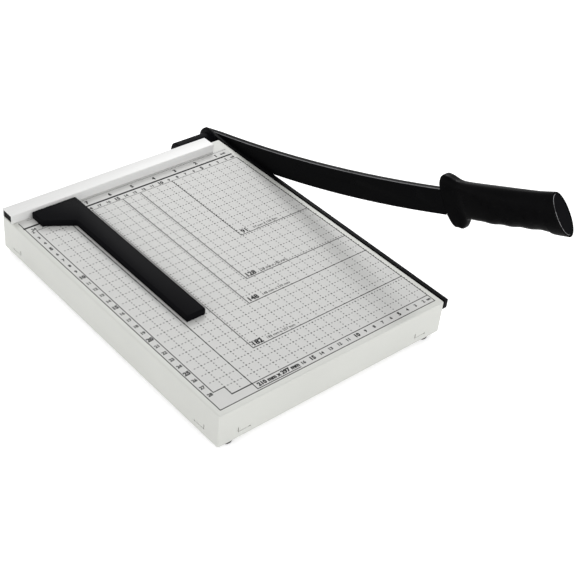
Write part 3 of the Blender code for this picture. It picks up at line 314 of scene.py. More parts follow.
def node_copy(name, finish, rounding=0.0, steps=2, angle=40):
    """A merged copy of a node's mesh, its edges rounded, which stands for the node and rides with it."""
    source = frame["nodes"][name]
    made = bpy.data.objects.new(name + "_piece", source.data.copy())
    bpy.context.scene.collection.objects.link(made)
    made.data.materials.clear()
    edit(made, "VERT")
    bpy.ops.mesh.select_all(action="SELECT")
    bpy.ops.mesh.remove_doubles(threshold=FINE)
    bpy.ops.mesh.dissolve_limited(angle_limit=FLAT_WITHIN)
    leave_edit()
    if rounding:
        apply_modifier(made, "BEVEL", width=rounding, segments=steps, limit_method="ANGLE",
                       angle_limit=math.radians(angle), miter_outer="MITER_ARC")
    smooth(made, angle)
    made.data.materials.append(finish)
    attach(made, source["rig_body"])
    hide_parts(name)
    return made


# Glass-filled nylon, moulded: dull black with a fine fibrous mottle.
NYLON_GRAIN = 0.8 * MM
GRAIN_DEPTH = 0.01 * MM
nylon, tree, shader = new_material("moulded_black_nylon", IOR=1.53, Specular_IOR_Level=0.1)
place = add_node(tree, "ShaderNodeTexCoord").outputs["Object"]
grain = add_node(tree, "ShaderNodeTexNoise", {"Vector": place, "Scale": 1 / NYLON_GRAIN, "Detail": 4.0})
tone = add_node(tree, "ShaderNodeValToRGB", {"Fac": grain.outputs["Fac"]},
                stops={0.35: linear("#161617"), 0.65: linear("#1E1E20")})
rough = add_node(tree, "ShaderNodeValToRGB", {"Fac": grain.outputs["Fac"]},
                 stops={0.3: grey(0.5), 0.7: grey(0.62)})
bump = add_node(tree, "ShaderNodeBump", {"Height": grain.outputs["Fac"], "Distance": GRAIN_DEPTH})
link_finish(tree, shader, tone, rough, bump)

# Zinc plate, bright and passivated: grey metal, slightly clouded by the tumbling.
PLATE_CLOUD = 2.5 * MM
zinc, tree, shader = new_material("bright_zinc_plate", Metallic=1.0)
place = add_node(tree, "ShaderNodeTexCoord").outputs["Object"]
cloud = add_node(tree, "ShaderNodeTexNoise", {"Vector": place, "Scale": 1 / PLATE_CLOUD, "Detail": 5.0})
tone = add_node(tree, "ShaderNodeValToRGB", {"Fac": cloud.outputs["Fac"]},
                stops={0.3: linear("#A9ACB0"), 0.7: linear("#C6C9CC")})
rough = add_node(tree, "ShaderNodeValToRGB", {"Fac": cloud.outputs["Fac"]},
                 stops={0.3: grey(0.26), 0.7: grey(0.42)})
link_finish(tree, shader, tone, rough)

SMALL_ROUNDING = 0.2 * MM
for name in ("table_stiffener_front", "table_stiffener_rear"):
    node_copy(name, enamel, SMALL_ROUNDING)
for corner in ("front_left", "front_right", "rear_left", "rear_right"):
    node_copy("foot_block_" + corner, nylon, SMALL_ROUNDING)
    node_copy("foot_screw_" + corner, zinc, SMALL_ROUNDING)
for number in "1234":
    node_copy("knife_nut_" + number, zinc, SMALL_ROUNDING)
for number in "123":
    node_copy("fence_screw_" + number, zinc, SMALL_ROUNDING)

# Feet
# Four round rubber buttons, each moulded in one piece, a little narrower below, with a recess that hides the
# screw's head. The lower rim is rounded, and the rubber has bloomed to a dull black.
FACING = 0.9
FOOT_RIM = 0.9 * MM
RECESS_RADIUS = 4.2 * MM
RECESS_DEPTH = 2.2 * MM
FOOT_TAPER = 1 * MM

# Moulded rubber: matt and a little dusty where the bloom lies.
RUBBER_BLOOM = 1.6 * MM
rubber, tree, shader = new_material("moulded_black_rubber", IOR=1.52, Specular_IOR_Level=0.08)
place = add_node(tree, "ShaderNodeTexCoord").outputs["Object"]
bloom = add_node(tree, "ShaderNodeTexNoise", {"Vector": place, "Scale": 1 / RUBBER_BLOOM, "Detail": 6.0})
tone = add_node(tree, "ShaderNodeValToRGB", {"Fac": bloom.outputs["Fac"]},
                stops={0.4: linear("#141414"), 0.7: linear("#222221")})
rough = add_node(tree, "ShaderNodeValToRGB", {"Fac": bloom.outputs["Fac"]},
                 stops={0.3: grey(0.75), 0.7: grey(0.9)})
link_finish(tree, shader, tone, rough)

for corner in ("front_left", "front_right", "rear_left", "rear_right"):
    low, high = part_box("foot_" + corner)
    middle = (low + high) / 2
    radius = (high.x - low.x) / 2
    foot = rod_at("rubber_foot_" + corner, middle, radius, high.z - low.z, sides=48)
    edit(foot, "FACE")
    pick(foot, lambda f: f.normal.z < -FACING)
    bpy.ops.transform.resize(value=[1 - FOOT_TAPER / radius] * 2 + [1])
    bpy.ops.mesh.inset(thickness=radius - FOOT_TAPER - RECESS_RADIUS)
    bpy.ops.mesh.extrude_region_move(TRANSFORM_OT_translate={"value": (0, 0, RECESS_DEPTH)})
    bpy.ops.mesh.select_mode(type="EDGE")
    rim = radius - 1.5 * FOOT_TAPER
    pick(foot, lambda e: max(v.co.z for v in e.verts) < low.z + FINE
         and min(math.hypot(v.co.x - middle.x, v.co.y - middle.y) for v in e.verts) > rim)
    bpy.ops.mesh.bevel(offset=FOOT_RIM, segments=5)
    leave_edit()
    smooth(foot, 40)
    foot.data.materials.append(rubber)
    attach(foot, "root")
    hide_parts("foot_" + corner)

# Printed scale
# Screen-printed on the enamel in near-black ink over a pale ground: inches and centimetres along the fence,
# centimetres at the left and in front, a grid of dashes, and outlines of standard sheets with their sizes.
# Places are measured left from the cut and forward from the fence.
INK_FILM = 0.04 * MM
INK_LIFT = 0.02 * MM
THIN = 0.55 * MM
MEDIUM = 0.75 * MM
HEAVY = 2 * MM
GRID = 10 * MM
DASHES_PER_CELL = 3
DASH_LENGTH = 1.1 * MM
DASH_WIDTH = 0.75 * MM
DOT_WIDTH = 1.25 * MM
INCH = 25.4 * MM
cut_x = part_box("bed_knife")[1].x
fence_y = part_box("rear_fence")[0].y
ink_z = table_z + INK_LIFT


def on_table(left, forward, lift=0.0):
    """A place on the table, so far left of the cut and forward of the fence."""
    return Vector((cut_x - left, fence_y - forward, ink_z + lift))


def ink_bar(parts, left_a, forward_a, left_b, forward_b, width):
    """Adds a printed line from one place to another, along X or along Y."""
    a, b = on_table(left_a, forward_a), on_table(left_b, forward_b)
    low = [min(a.x, b.x) - width / 2, min(a.y, b.y) - width / 2, ink_z]
    high = [max(a.x, b.x) + width / 2, max(a.y, b.y) + width / 2, ink_z + INK_FILM]
    parts.append(box_between("line", low, high))


# Screen-printing ink: near black, matt, a little greyer where the mesh left less of it.
INK_PATCH = 2 * MM
ink, tree, shader = new_material("screen_printed_ink", IOR=1.45, Specular_IOR_Level=0.2)
place = add_node(tree, "ShaderNodeTexCoord").outputs["Object"]
thin = add_node(tree, "ShaderNodeTexNoise", {"Vector": place, "Scale": 1 / INK_PATCH, "Detail": 4.0})
tone = add_node(tree, "ShaderNodeValToRGB", {"Fac": thin.outputs["Fac"]},
                stops={0.35: linear("#060607"), 0.7: linear("#101012")})
rough = add_node(tree, "ShaderNodeValToRGB", {"Fac": thin.outputs["Fac"]},
                 stops={0.3: grey(0.55), 0.7: grey(0.7)})
link_finish(tree, shader, tone, rough)

SHEETS = ((91 * MM, 128 * MM), (128 * MM, 182 * MM), (148 * MM, 210 * MM), (182 * MM, 257 * MM),
          (210 * MM, 297 * MM))
BORDER_RIGHT = 10.5 * MM
BORDER_FRONT = 299 * MM
BORDER_LEFT = 249 * MM
BORDER_REAR = 2.4 * MM
STRIP_LEFT = 241.3 * MM
STRIP_FRONT = 289.8 * MM
HEAVY_ROW = 12.3 * MM
DASHED_ROW = 20.3 * MM
NOTCH_FRONT = 280.1 * MM
NOTCH_LEFT = 230.3 * MM
SIZE_BOX_END = 165 * MM

# The ground that the scale is printed on: one flat coat of pale neutral ink, matt, a shade darker than the
# enamel, with the faint mottle that a screen leaves.
GROUND_FILM = 0.01 * MM
GROUND_CORNER = 1 * MM
SCREEN_MOTTLE = 9 * MM
ground_ink, tree, shader = new_material("screen_printed_pale_ground", IOR=1.45, Specular_IOR_Level=0.3)
place = add_node(tree, "ShaderNodeTexCoord").outputs["Object"]
mottle = add_node(tree, "ShaderNodeTexNoise", {"Vector": place, "Scale": 1 / SCREEN_MOTTLE, "Detail": 5.0})
tone = add_node(tree, "ShaderNodeValToRGB", {"Fac": mottle.outputs["Fac"]},
                stops={0.3: linear("#D1D1CF"), 0.7: linear("#D5D5D3")})
rough = add_node(tree, "ShaderNodeValToRGB", {"Fac": mottle.outputs["Fac"]},
                 stops={0.3: grey(0.5), 0.7: grey(0.58)})
link_finish(tree, shader, tone, rough)
ground_low = on_table(BORDER_LEFT, BORDER_FRONT, -INK_LIFT)
ground_high = on_table(BORDER_RIGHT, 0, GROUND_FILM - INK_LIFT)
ground = tray("print_ground", ground_low, ground_high, GROUND_CORNER)
ground.data.materials.append(ground_ink)
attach(ground, "root")

lines = []
for width, length in SHEETS:
    last = (width, length) == SHEETS[-1]
    ink_bar(lines, width, DASHED_ROW, width, length, MEDIUM)
    ink_bar(lines, width, length, SIZE_BOX_END if last else BORDER_RIGHT, length, MEDIUM)
ink_bar(lines, BORDER_LEFT, HEAVY_ROW, BORDER_RIGHT + 2 * THIN, HEAVY_ROW, HEAVY)
ink_bar(lines, BORDER_LEFT, BORDER_REAR, BORDER_LEFT, BORDER_FRONT, MEDIUM)
ink_bar(lines, BORDER_LEFT, BORDER_FRONT, BORDER_RIGHT, BORDER_FRONT, MEDIUM)
ink_bar(lines, BORDER_RIGHT, DASHED_ROW, BORDER_RIGHT, BORDER_FRONT, MEDIUM)
ink_bar(lines, STRIP_LEFT, DASHED_ROW, STRIP_LEFT, NOTCH_FRONT, MEDIUM)
ink_bar(lines, STRIP_LEFT, NOTCH_FRONT, NOTCH_LEFT, NOTCH_FRONT, MEDIUM)
ink_bar(lines, NOTCH_LEFT, NOTCH_FRONT, NOTCH_LEFT, STRIP_FRONT, MEDIUM)
ink_bar(lines, NOTCH_LEFT, STRIP_FRONT, BORDER_RIGHT, STRIP_FRONT, MEDIUM)
ink_bar(lines, NOTCH_LEFT, STRIP_FRONT, SHEETS[-1][0], STRIP_FRONT, MEDIUM + THIN / 2)
print_lines = join(lines)
print_lines.name = "print_lines"


def dashed(name, left, forward, length, width, step_x, count_x, step_y, count_y):
    """One dash, repeated along two directions: its middle at a place, its steps to the right and forward."""
    spot = on_table(left, forward)
    low = [spot.x - length / 2, spot.y - width / 2, ink_z]
    high = [spot.x + length / 2, spot.y + width / 2, ink_z + INK_FILM]
    made = box_between(name, low, high)
    for axis, step, count in ((0, step_x, count_x), (1, -step_y, count_y)):
        offset = [0, 0, 0]
        offset[axis] = step
        apply_modifier(made, "ARRAY", use_relative_offset=False, use_constant_offset=True,
                       constant_offset_displace=offset, count=count, use_merge_vertices=False)
    return made


COLUMNS = 24
ROWS = 27
FIRST_ROW = 2
INCHES = 9
INCH_PARTS = 16
INCH_ROW = 2.2 * MM
pitch = GRID / DASHES_PER_CELL
grid = []
for part in (1, 2):
    grid.append(dashed("grid", COLUMNS * GRID - part * pitch, FIRST_ROW * GRID + GRID,
                       DASH_LENGTH, DASH_WIDTH, GRID, COLUMNS - 1, GRID, ROWS - 1))
    grid.append(dashed("grid", COLUMNS * GRID - GRID, FIRST_ROW * GRID + part * pitch,
                       DASH_WIDTH, DASH_LENGTH, GRID, COLUMNS - 1, GRID, ROWS))
grid.append(dashed("grid", COLUMNS * GRID - GRID, FIRST_ROW * GRID + GRID,
                   DOT_WIDTH, DOT_WIDTH, GRID, COLUMNS - 1, GRID, ROWS - 1))
grid.append(dashed("grid", COLUMNS * GRID, DASHED_ROW, DASH_LENGTH, MEDIUM,
                   pitch / 2, 2 * DASHES_PER_CELL * (COLUMNS - 1), GRID, 1))
grid.append(dashed("grid", COLUMNS * GRID, INCH_ROW, MEDIUM, MEDIUM,
                   INCH / INCH_PARTS, INCHES * INCH_PARTS + 1, GRID, 1))
print_grid = join(grid)
print_grid.name = "print_grid"

DIGIT_SHARE = 0.72


def printed(parts, body, left, forward, height, weight, align="CENTER"):
    """Adds text in ink, so high and so much thickened, its middle or its left end at a place on the table."""
    bpy.ops.object.select_all(action="DESELECT")
    bpy.ops.object.text_add(location=(0, 0, 0))
    text = bpy.context.object
    text.data.body = body
    text.data.size = height / DIGIT_SHARE
    text.data.offset = weight
    text.data.extrude = INK_FILM / 2
    text.data.resolution_u = 2
    text.data.align_x = align
    text.data.align_y = "CENTER"
    bpy.ops.object.convert(target="MESH")
    text = bpy.context.object
    text.location = on_table(left, forward, INK_FILM / 2)
    bpy.ops.object.transform_apply(location=True, rotation=True, scale=True)
    parts.append(text)


SMALL_DIGIT = 3.2 * MM
BOLD_DIGIT = 4.1 * MM
FENCE_DIGIT = 4.1 * MM
UNIT_WORD = 2.6 * MM
SHEET_DIGIT = 5.4 * MM
SHEET_WORDS = 2.9 * MM
FAINT = 0.04 * MM
REGULAR = 0.19 * MM
BOLD = 0.32 * MM
LABEL = 0.3 * MM
BOLD_EVERY = 5
INCH_NUMBER_ROW = 7.2 * MM
INCH_NUMBER_SHIFT = 1.6 * MM
REAR_NUMBER_ROW = 17.3 * MM
REAR_NUMBER_SHIFT = 2.2 * MM
SIDE_NUMBER_COLUMN = 245 * MM
SIDE_NUMBER_SHIFT = 1 * MM
FRONT_NUMBER_ROW = 294.3 * MM
FRONT_NUMBER_LAST = 16
INCH_WORD_COLUMN = 18 * MM
CM_WORD_COLUMN = 14 * MM
SHEET_DIGIT_ASIDE = 7.4 * MM
SHEET_DIGIT_BEHIND = 4 * MM
SHEET_WORDS_ASIDE = 17 * MM
SHEET_WORDS_BEHIND = 3.4 * MM
SIZE_BOX_DIGIT = 4 * MM
SIZE_BOX_ASIDE = 3 * MM
SIZE_BOX_ROW = 293.6 * MM
words = []


def centimetre_number(number, left, forward):
    """A centimetre's number, larger and bold at each fifth."""
    height, weight = (SMALL_DIGIT, REGULAR) if number % BOLD_EVERY else (BOLD_DIGIT, BOLD)
    printed(words, str(number), left, forward, height, weight)


def sheet_measures(width, length):
    """A sheet's width and length, as they are printed."""
    return f"{round(width / MM)} mm x {round(length / MM)} mm"


for inch in range(1, INCHES + 1):
    printed(words, str(inch), INCH * inch + INCH_NUMBER_SHIFT, INCH_NUMBER_ROW, FENCE_DIGIT, BOLD)
for number in range(1, COLUMNS + 1):
    centimetre_number(number, GRID * number + REAR_NUMBER_SHIFT, REAR_NUMBER_ROW)
for number in range(FIRST_ROW, FIRST_ROW + ROWS):
    centimetre_number(number, SIDE_NUMBER_COLUMN, GRID * number + SIDE_NUMBER_SHIFT)
for number in range(FIRST_ROW, FRONT_NUMBER_LAST + 1):
    centimetre_number(number, GRID * number, FRONT_NUMBER_ROW)
for unit, left, forward in (("inch", INCH_WORD_COLUMN, INCH_NUMBER_ROW),
                            ("cm", CM_WORD_COLUMN, REAR_NUMBER_ROW),
                            ("cm", CM_WORD_COLUMN, FRONT_NUMBER_ROW)):
    printed(words, unit, left, forward, UNIT_WORD, REGULAR)
for width, length in SHEETS[:-1]:
    printed(words, str(round(width / MM)), width - SHEET_DIGIT_ASIDE, length - SHEET_DIGIT_BEHIND,
            SHEET_DIGIT, LABEL)
    printed(words, sheet_measures(width, length), width - SHEET_WORDS_ASIDE, length - SHEET_WORDS_BEHIND,
            SHEET_WORDS, FAINT, "LEFT")
width, length = SHEETS[-1]
printed(words, sheet_measures(width, length), width - SIZE_BOX_ASIDE, SIZE_BOX_ROW,
        SIZE_BOX_DIGIT, BOLD, "LEFT")
print_words = join(words)
print_words.name = "print_numbers"
edit(print_words, "VERT")
bpy.ops.mesh.select_all(action="SELECT")
bpy.ops.mesh.remove_doubles(threshold=FINE)
bpy.ops.mesh.normals_make_consistent(inside=False)
leave_edit()
for printing in (print_lines, print_grid, print_words):
    printing.data.materials.clear()
    printing.data.materials.append(ink)
    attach(printing, "root")

# Rear fence
# A white extrusion with a flat top and softly rounded long edges, screwed down from below. Its cut ends show
# the wall as a thin white border round a black plug that is pressed in a little way.
FENCE_WALL = 1.4 * MM
FENCE_EDGE = 0.9 * MM
RIB_WIDTH = 5 * MM
PLUG_DISH = 0.2 * MM
PLUG_RIM = 1 * MM

# Rigid PVC, extruded: white with a satin skin, and die lines a fraction of a millimetre apart along it.
DIE_LINE = 0.5 * MM
DIE_DEPTH = 0.01 * MM
DIE_STRETCH = 0.02
vinyl, tree, shader = new_material("extruded_white_vinyl", IOR=1.53, Specular_IOR_Level=0.4)
place = add_node(tree, "ShaderNodeTexCoord").outputs["Object"]
drawn = add_node(tree, "ShaderNodeMapping", {"Vector": place, "Scale": (DIE_STRETCH, 1, 1)})
die = add_node(tree, "ShaderNodeTexNoise",
               {"Vector": drawn.outputs["Vector"], "Scale": 1 / DIE_LINE, "Detail": 2.0})
tone = add_node(tree, "ShaderNodeValToRGB", {"Fac": die.outputs["Fac"]},
                stops={0.3: linear("#DFDFDE"), 0.7: linear("#E5E5E4")})
rough = add_node(tree, "ShaderNodeValToRGB", {"Fac": die.outputs["Fac"]},
                 stops={0.3: grey(0.36), 0.7: grey(0.46)})
bump = add_node(tree, "ShaderNodeBump",
                {"Height": die.outputs["Fac"], "Distance": DIE_DEPTH, "Strength": 0.5})
link_finish(tree, shader, tone, rough, bump)

# Moulded ABS with a spark-eroded skin: near black, the fine pits scatter the light into a soft dark grey.
SPARK_PIT = 0.45 * MM
PIT_DEPTH = 0.015 * MM
spark_black, tree, shader = new_material("spark_textured_abs", IOR=1.54, Specular_IOR_Level=0.025)
place = add_node(tree, "ShaderNodeTexCoord").outputs["Object"]
pits = add_node(tree, "ShaderNodeTexNoise", {"Vector": place, "Scale": 1 / SPARK_PIT, "Detail": 3.0})
tone = add_node(tree, "ShaderNodeValToRGB", {"Fac": pits.outputs["Fac"]},
                stops={0.35: linear("#08080A"), 0.7: linear("#0D0D10")})
rough = add_node(tree, "ShaderNodeValToRGB", {"Fac": pits.outputs["Fac"]},
                 stops={0.3: grey(0.46), 0.7: grey(0.6)})
bump = add_node(tree, "ShaderNodeBump",
                {"Height": pits.outputs["Fac"], "Distance": PIT_DEPTH, "Strength": 0.8})
link_finish(tree, shader, tone, rough, bump)

fence_low, fence_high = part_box("rear_fence")
fence = box_between("fence_extrusion", fence_low, fence_high)
edit(fence, "EDGE")
pick(fence, lambda e: min(v.co.z for v in e.verts) > fence_high.z - FINE
     and abs(e.verts[0].co.x - e.verts[1].co.x) > FENCE_EDGE)
bpy.ops.mesh.bevel(offset=FENCE_EDGE, segments=5)
leave_edit()
channel = box_between("channel", fence_low + Vector((-OVERRUN, FENCE_WALL, -OVERRUN)),
                      fence_high + Vector((OVERRUN, -FENCE_WALL, -FENCE_WALL)))
carve(fence, [channel])
rib_room = Vector((PLUG_RIM + FENCE_WALL, (fence_high.y - fence_low.y - RIB_WIDTH) / 2, 0))
rib_top = Vector((fence_high.x, fence_high.y, fence_high.z - FENCE_WALL / 2))
carve(fence, [box_between("rib", fence_low + rib_room, rib_top - rib_room)], "UNION")
screw_holes = []
for number in "123":
    low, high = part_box("fence_screw_" + number)
    spot = (low + high) / 2
    spot.z = fence_low.z
    bore = (high.x - low.x) / 4 + HOLE_ROOM
    screw_holes.append(rod_at("hole", spot, bore, 2 * (high.z - fence_low.z + HOLE_ROOM)))
carve(fence, screw_holes)
smooth(fence)
fence.data.materials.append(vinyl)
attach(fence, "root")
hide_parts("rear_fence")

for side, name in ((-1, "fence_plug_left"), (1, "fence_plug_right")):
    plug = node_copy(name, spark_black)
    low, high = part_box(name)
    outer = low.x if side < 0 else high.x
    edit(plug, "FACE")
    pick(plug, lambda f: f.normal.x * side > FACING and abs(f.calc_center_median().x - outer) < FINE)
    bpy.ops.mesh.inset(thickness=PLUG_RIM)
    bpy.ops.transform.translate(value=(-side * PLUG_DISH, 0, 0))
    leave_edit()

# Bed knife
# A flat bar of tool steel on the right wall, blacked and held by four countersunk screws. Its top stands a
# little above the table, and its rear end runs on behind the base and carries the pivot.
KNIFE_EDGE = 0.15 * MM
KNIFE_STAND = 0.7 * MM
over_all = Vector((OVERRUN, OVERRUN, 0))

# Blacked steel: an oil-dark oxide over a rolled surface, with rolling streaks along it and a dull sheen.
ROLL_LINE = 0.9 * MM
ROLL_STRETCH = 0.04
ROLL_DEPTH = 0.006 * MM
blacked, tree, shader = new_material("blacked_tool_steel", IOR=1.6, Specular_IOR_Level=0.02)
place = add_node(tree, "ShaderNodeTexCoord").outputs["Object"]
rolled = add_node(tree, "ShaderNodeMapping", {"Vector": place, "Scale": (1, ROLL_STRETCH, 1)})
streak = add_node(tree, "ShaderNodeTexNoise",
                  {"Vector": rolled.outputs["Vector"], "Scale": 1 / ROLL_LINE, "Detail": 3.0})
tone = add_node(tree, "ShaderNodeValToRGB", {"Fac": streak.outputs["Fac"]},
                stops={0.35: linear("#08080A"), 0.7: linear("#0E0E10")})
rough = add_node(tree, "ShaderNodeValToRGB", {"Fac": streak.outputs["Fac"]},
                 stops={0.3: grey(0.38), 0.7: grey(0.52)})
bump = add_node(tree, "ShaderNodeBump",
                {"Height": streak.outputs["Fac"], "Distance": ROLL_DEPTH, "Strength": 0.5})
link_finish(tree, shader, tone, rough, bump)

knife = node_copy("bed_knife", blacked)
knife_low, knife_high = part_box("bed_knife")
shoulder = Vector((0, 0, table_z + KNIFE_STAND - knife_low.z))
carve(knife, [box_between("above", knife_low + shoulder - over_all, knife_high + over_all)])
apply_modifier(knife, "BEVEL", width=KNIFE_EDGE, segments=2, limit_method="ANGLE",
               angle_limit=math.radians(40))
smooth(knife, 40)
for number in "1234":
    node_copy("knife_screw_" + number, blacked, KNIFE_EDGE / 2, steps=1)

# Pivot
# The arm turns on a bolt in a bronze bush in the bed knife's rear end. A spring on the bolt's tail draws the
# blade against the bed knife; a ring and a push-on plastic cap cover it behind the fence.
FINE_ROUNDING = 0.1 * MM

# Sintered bronze: warm, porous and oil-soaked, so dull for a metal.
PORE = 0.5 * MM
bronze, tree, shader = new_material("sintered_bronze", Metallic=1.0)
place = add_node(tree, "ShaderNodeTexCoord").outputs["Object"]
pores = add_node(tree, "ShaderNodeTexNoise", {"Vector": place, "Scale": 1 / PORE, "Detail": 4.0})
tone = add_node(tree, "ShaderNodeValToRGB", {"Fac": pores.outputs["Fac"]},
                stops={0.35: linear("#7A5A34"), 0.6: linear("#B08A55")})
rough = add_node(tree, "ShaderNodeValToRGB", {"Fac": pores.outputs["Fac"]},
                 stops={0.3: grey(0.4), 0.7: grey(0.6)})
link_finish(tree, shader, tone, rough)

node_copy("pivot_bush", bronze, FINE_ROUNDING)
node_copy("cover_collar", zinc, FINE_ROUNDING)
node_copy("pivot_washer_outer", blacked, SMALL_ROUNDING)
node_copy("spring_washer_inner", zinc, SMALL_ROUNDING)
node_copy("spring_washer_outer", zinc, SMALL_ROUNDING)
node_copy("pivot_lock_nut", zinc, SMALL_ROUNDING)
node_copy("pressure_spring", zinc)

# The cap has a wide flange against the bed knife, and the bolt a low round head with a hexagon socket.
FLANGE_RADIUS = 14.7 * MM
FLANGE_SHEET = 1.6 * MM
COVER_EDGE = 0.5 * MM
HEAD_RADIUS = 6.2 * MM
HEAD_HEIGHT = 3.2 * MM
SOCKET_RADIUS = 2.6 * MM
SOCKET_DEPTH = 1.8 * MM
hinge = next(joint for joint in frame["joints"] if joint["name"] == "blade_hinge")
pivot = Vector(hinge["pos_m"])
cover = node_copy("spring_cover", spark_black)
cover_low, cover_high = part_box("spring_cover")
spot = Vector((cover_high.x - FLANGE_SHEET / 2, pivot.y, pivot.z))
disc = rod_at("flange", spot, FLANGE_RADIUS, FLANGE_SHEET, "X", sides=64)
cover_bore = (cover_high.z - cover_low.z) / 2 - COVER_EDGE
carve(disc, [rod_at("bore", spot, cover_bore, 2 * FLANGE_SHEET, "X", sides=40)])
carve(cover, [disc], "UNION")
apply_modifier(cover, "BEVEL", width=COVER_EDGE, segments=3, limit_method="ANGLE",
               angle_limit=math.radians(50))
smooth(cover, 40)

bolt = node_copy("pivot_bolt", blacked)
bolt_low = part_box("pivot_bolt")[0]
washer_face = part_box("pivot_washer_outer")[1].x
head_face = washer_face + HEAD_HEIGHT
middle = Vector(((bolt_low.x + head_face) / 2, pivot.y, pivot.z))
turned = rod_at("turned", middle, HEAD_RADIUS, head_face - bolt_low.x + FINE, "X", sides=64)
carve(bolt, [turned], "INTERSECT")
socket_place = Vector((head_face, pivot.y, pivot.z))
carve(bolt, [rod_at("socket", socket_place, SOCKET_RADIUS, 2 * SOCKET_DEPTH, "X", sides=6)])
edit(bolt, "EDGE")
pick(bolt, lambda e: min(v.co.x for v in e.verts) > head_face - FINE
     and max((v.co - middle).yz.length for v in e.verts) > SOCKET_RADIUS + FINE)
bpy.ops.mesh.bevel(offset=HEAD_HEIGHT / 2, segments=5)
leave_edit()
smooth(bolt, 40)

# Blade, carrier and rivets
# The blade is a 2.5 mm plate with a curved edge ground on its outer side; a 3 mm plate riveted beside it
# stiffens it and runs on as a tang into the handle. Both are sprayed black and stoved.
PLATE_EDGE = 0.3 * MM
TOP_ROUNDING = 0.5 * MM
ARM_LIFT = math.radians(14.5)
arm_up = Vector((0, math.sin(ARM_LIFT), math.cos(ARM_LIFT)))

# Black stoving enamel on steel: deep black, satin, a faint peel like the base's.
BLACK_PEEL_DEPTH = 0.01 * MM
black_enamel, tree, shader = new_material("stoved_black_enamel", IOR=1.5, Specular_IOR_Level=0.02)
place = add_node(tree, "ShaderNodeTexCoord").outputs["Object"]
peel = add_node(tree, "ShaderNodeTexNoise", {"Vector": place, "Scale": 1 / ORANGE_PEEL, "Detail": 1.5})
tone = add_node(tree, "ShaderNodeValToRGB", {"Fac": peel.outputs["Fac"]},
                stops={0.3: linear("#070708"), 0.7: linear("#0B0B0C")})
rough = add_node(tree, "ShaderNodeValToRGB", {"Fac": peel.outputs["Fac"]},
                 stops={0.3: grey(0.34), 0.7: grey(0.42)})
bump = add_node(tree, "ShaderNodeBump",
                {"Height": peel.outputs["Fac"], "Distance": BLACK_PEEL_DEPTH, "Strength": 0.5})
link_finish(tree, shader, tone, rough, bump)

# Along the plates' top edges, a painted highlight: the roundings get a dark grey, shinier coat whose lighter
# colour stands for the light these edges catch.
HIGHLIGHT_STREAK_LENGTH = 14 * MM
painted_edge_highlight, tree, shader = new_material("painted_highlight_black_enamel", IOR=1.5)
place = add_node(tree, "ShaderNodeTexCoord").outputs["Object"]
highlight_streak = add_node(tree, "ShaderNodeTexNoise", {"Vector": place, "Scale": 1 / HIGHLIGHT_STREAK_LENGTH, "Detail": 3.0})
tone = add_node(tree, "ShaderNodeValToRGB", {"Fac": highlight_streak.outputs["Fac"]},
                stops={0.3: linear("#555557"), 0.7: linear("#77777A")})
rough = add_node(tree, "ShaderNodeValToRGB", {"Fac": highlight_streak.outputs["Fac"]},
                 stops={0.3: grey(0.3), 0.7: grey(0.4)})
link_finish(tree, shader, tone, rough)

for name in ("blade", "arm_carrier"):
    plate = node_copy(name, black_enamel)
    # A second slot holds the painted highlight, which the roundings of the top edges take below.
    plate.data.materials.append(painted_edge_highlight)
    side = -1 if name == "blade" else 1
    edit(plate, "EDGE")
    pick(plate, lambda e: max(f.normal.dot(arm_up) for f in e.link_faces) > FACING
         and max(f.normal.x * side for f in e.link_faces) > FACING)
    bpy.ops.mesh.bevel(offset=TOP_ROUNDING, segments=4, material=1)
    leave_edit()
    apply_modifier(plate, "BEVEL", width=FINE_ROUNDING if name == "blade" else PLATE_EDGE, segments=2,
                   limit_method="ANGLE", angle_limit=math.radians(40))
    smooth(plate, 40)
for number in "1234":
    node_copy("blade_rivet_" + number, black_enamel)

# Handle
# A black moulding pushed over the tang and held by two screws: a thumb rise and a finger guard in front,
# shallow finger dips below, an oval end that leans back, closed by a cap.
HANDLE_FRONT = (324.3 * MM, 20.5 * MM)
HANDLE_TILT = math.radians(8.2)
FRONT_LEAN = math.radians(18.6)
END_LEAN = math.radians(26.4)
HANDLE_LENGTH = 123 * MM
HALF_HEIGHT = 15.5 * MM
HANDLE_WIDTH = 16.8 * MM
HANDLE_OUTER = 13.4 * MM
INNER_FLAT = 0.3 * MM
FINGER_WAVE = 0.7 * MM
FINGERS = 4
FINGER_SHARES = (0.235, 0.87)
CAP_WALL = 1.4 * MM
CAP_DEPTH = 3 * MM
CAP_EDGE = 0.3 * MM
STATIONS = 110
SIDES = 72
# Each row: how far along, above, below (of the half height), flank (0 flat for the table, 1 full), squareness
HANDLE_SHARES = (
    (0.00, 1.00, 1.25, 0.00, 4.4),
    (0.012, 1.18, 1.55, 0.00, 4.4),
    (0.026, 1.28, 1.70, 0.00, 4.4),
    (0.05, 1.34, 1.71, 0.00, 4.2),
    (0.09, 1.26, 1.74, 0.00, 4.0),
    (0.12, 1.16, 1.52, 0.02, 3.6),
    (0.155, 1.06, 1.17, 0.12, 3.2),
    (0.21, 1.01, 1.10, 0.40, 3.0),
    (0.33, 1.02, 1.14, 0.80, 2.8),
    (0.52, 1.05, 1.12, 1.00, 2.6),
    (0.74, 1.08, 1.08, 1.00, 2.4),
    (0.867, 1.11, 1.09, 1.00, 2.2),
    (0.885, 1.12, 1.17, 1.00, 2.2),
    (1.00, 1.20, 1.20, 1.00, 2.1),
)


def arm_place(x, u, w):
    """From the arm's own measures, forward of the pivot and above it, to the frame."""
    return pivot + Vector((x, w * math.sin(ARM_LIFT) - u * math.cos(ARM_LIFT),
                           w * math.cos(ARM_LIFT) + u * math.sin(ARM_LIFT)))


def handle_point(along, up):
    """A point of the handle's side view: along its spine, and up its leaning section, as (u, w)."""
    share = along / HANDLE_LENGTH
    lean = FRONT_LEAN + (END_LEAN - FRONT_LEAN) * share
    u = HANDLE_FRONT[0] + along * math.cos(HANDLE_TILT) - up * math.sin(lean)
    w = HANDLE_FRONT[1] + along * math.sin(HANDLE_TILT) + up * math.cos(lean)
    return u, w


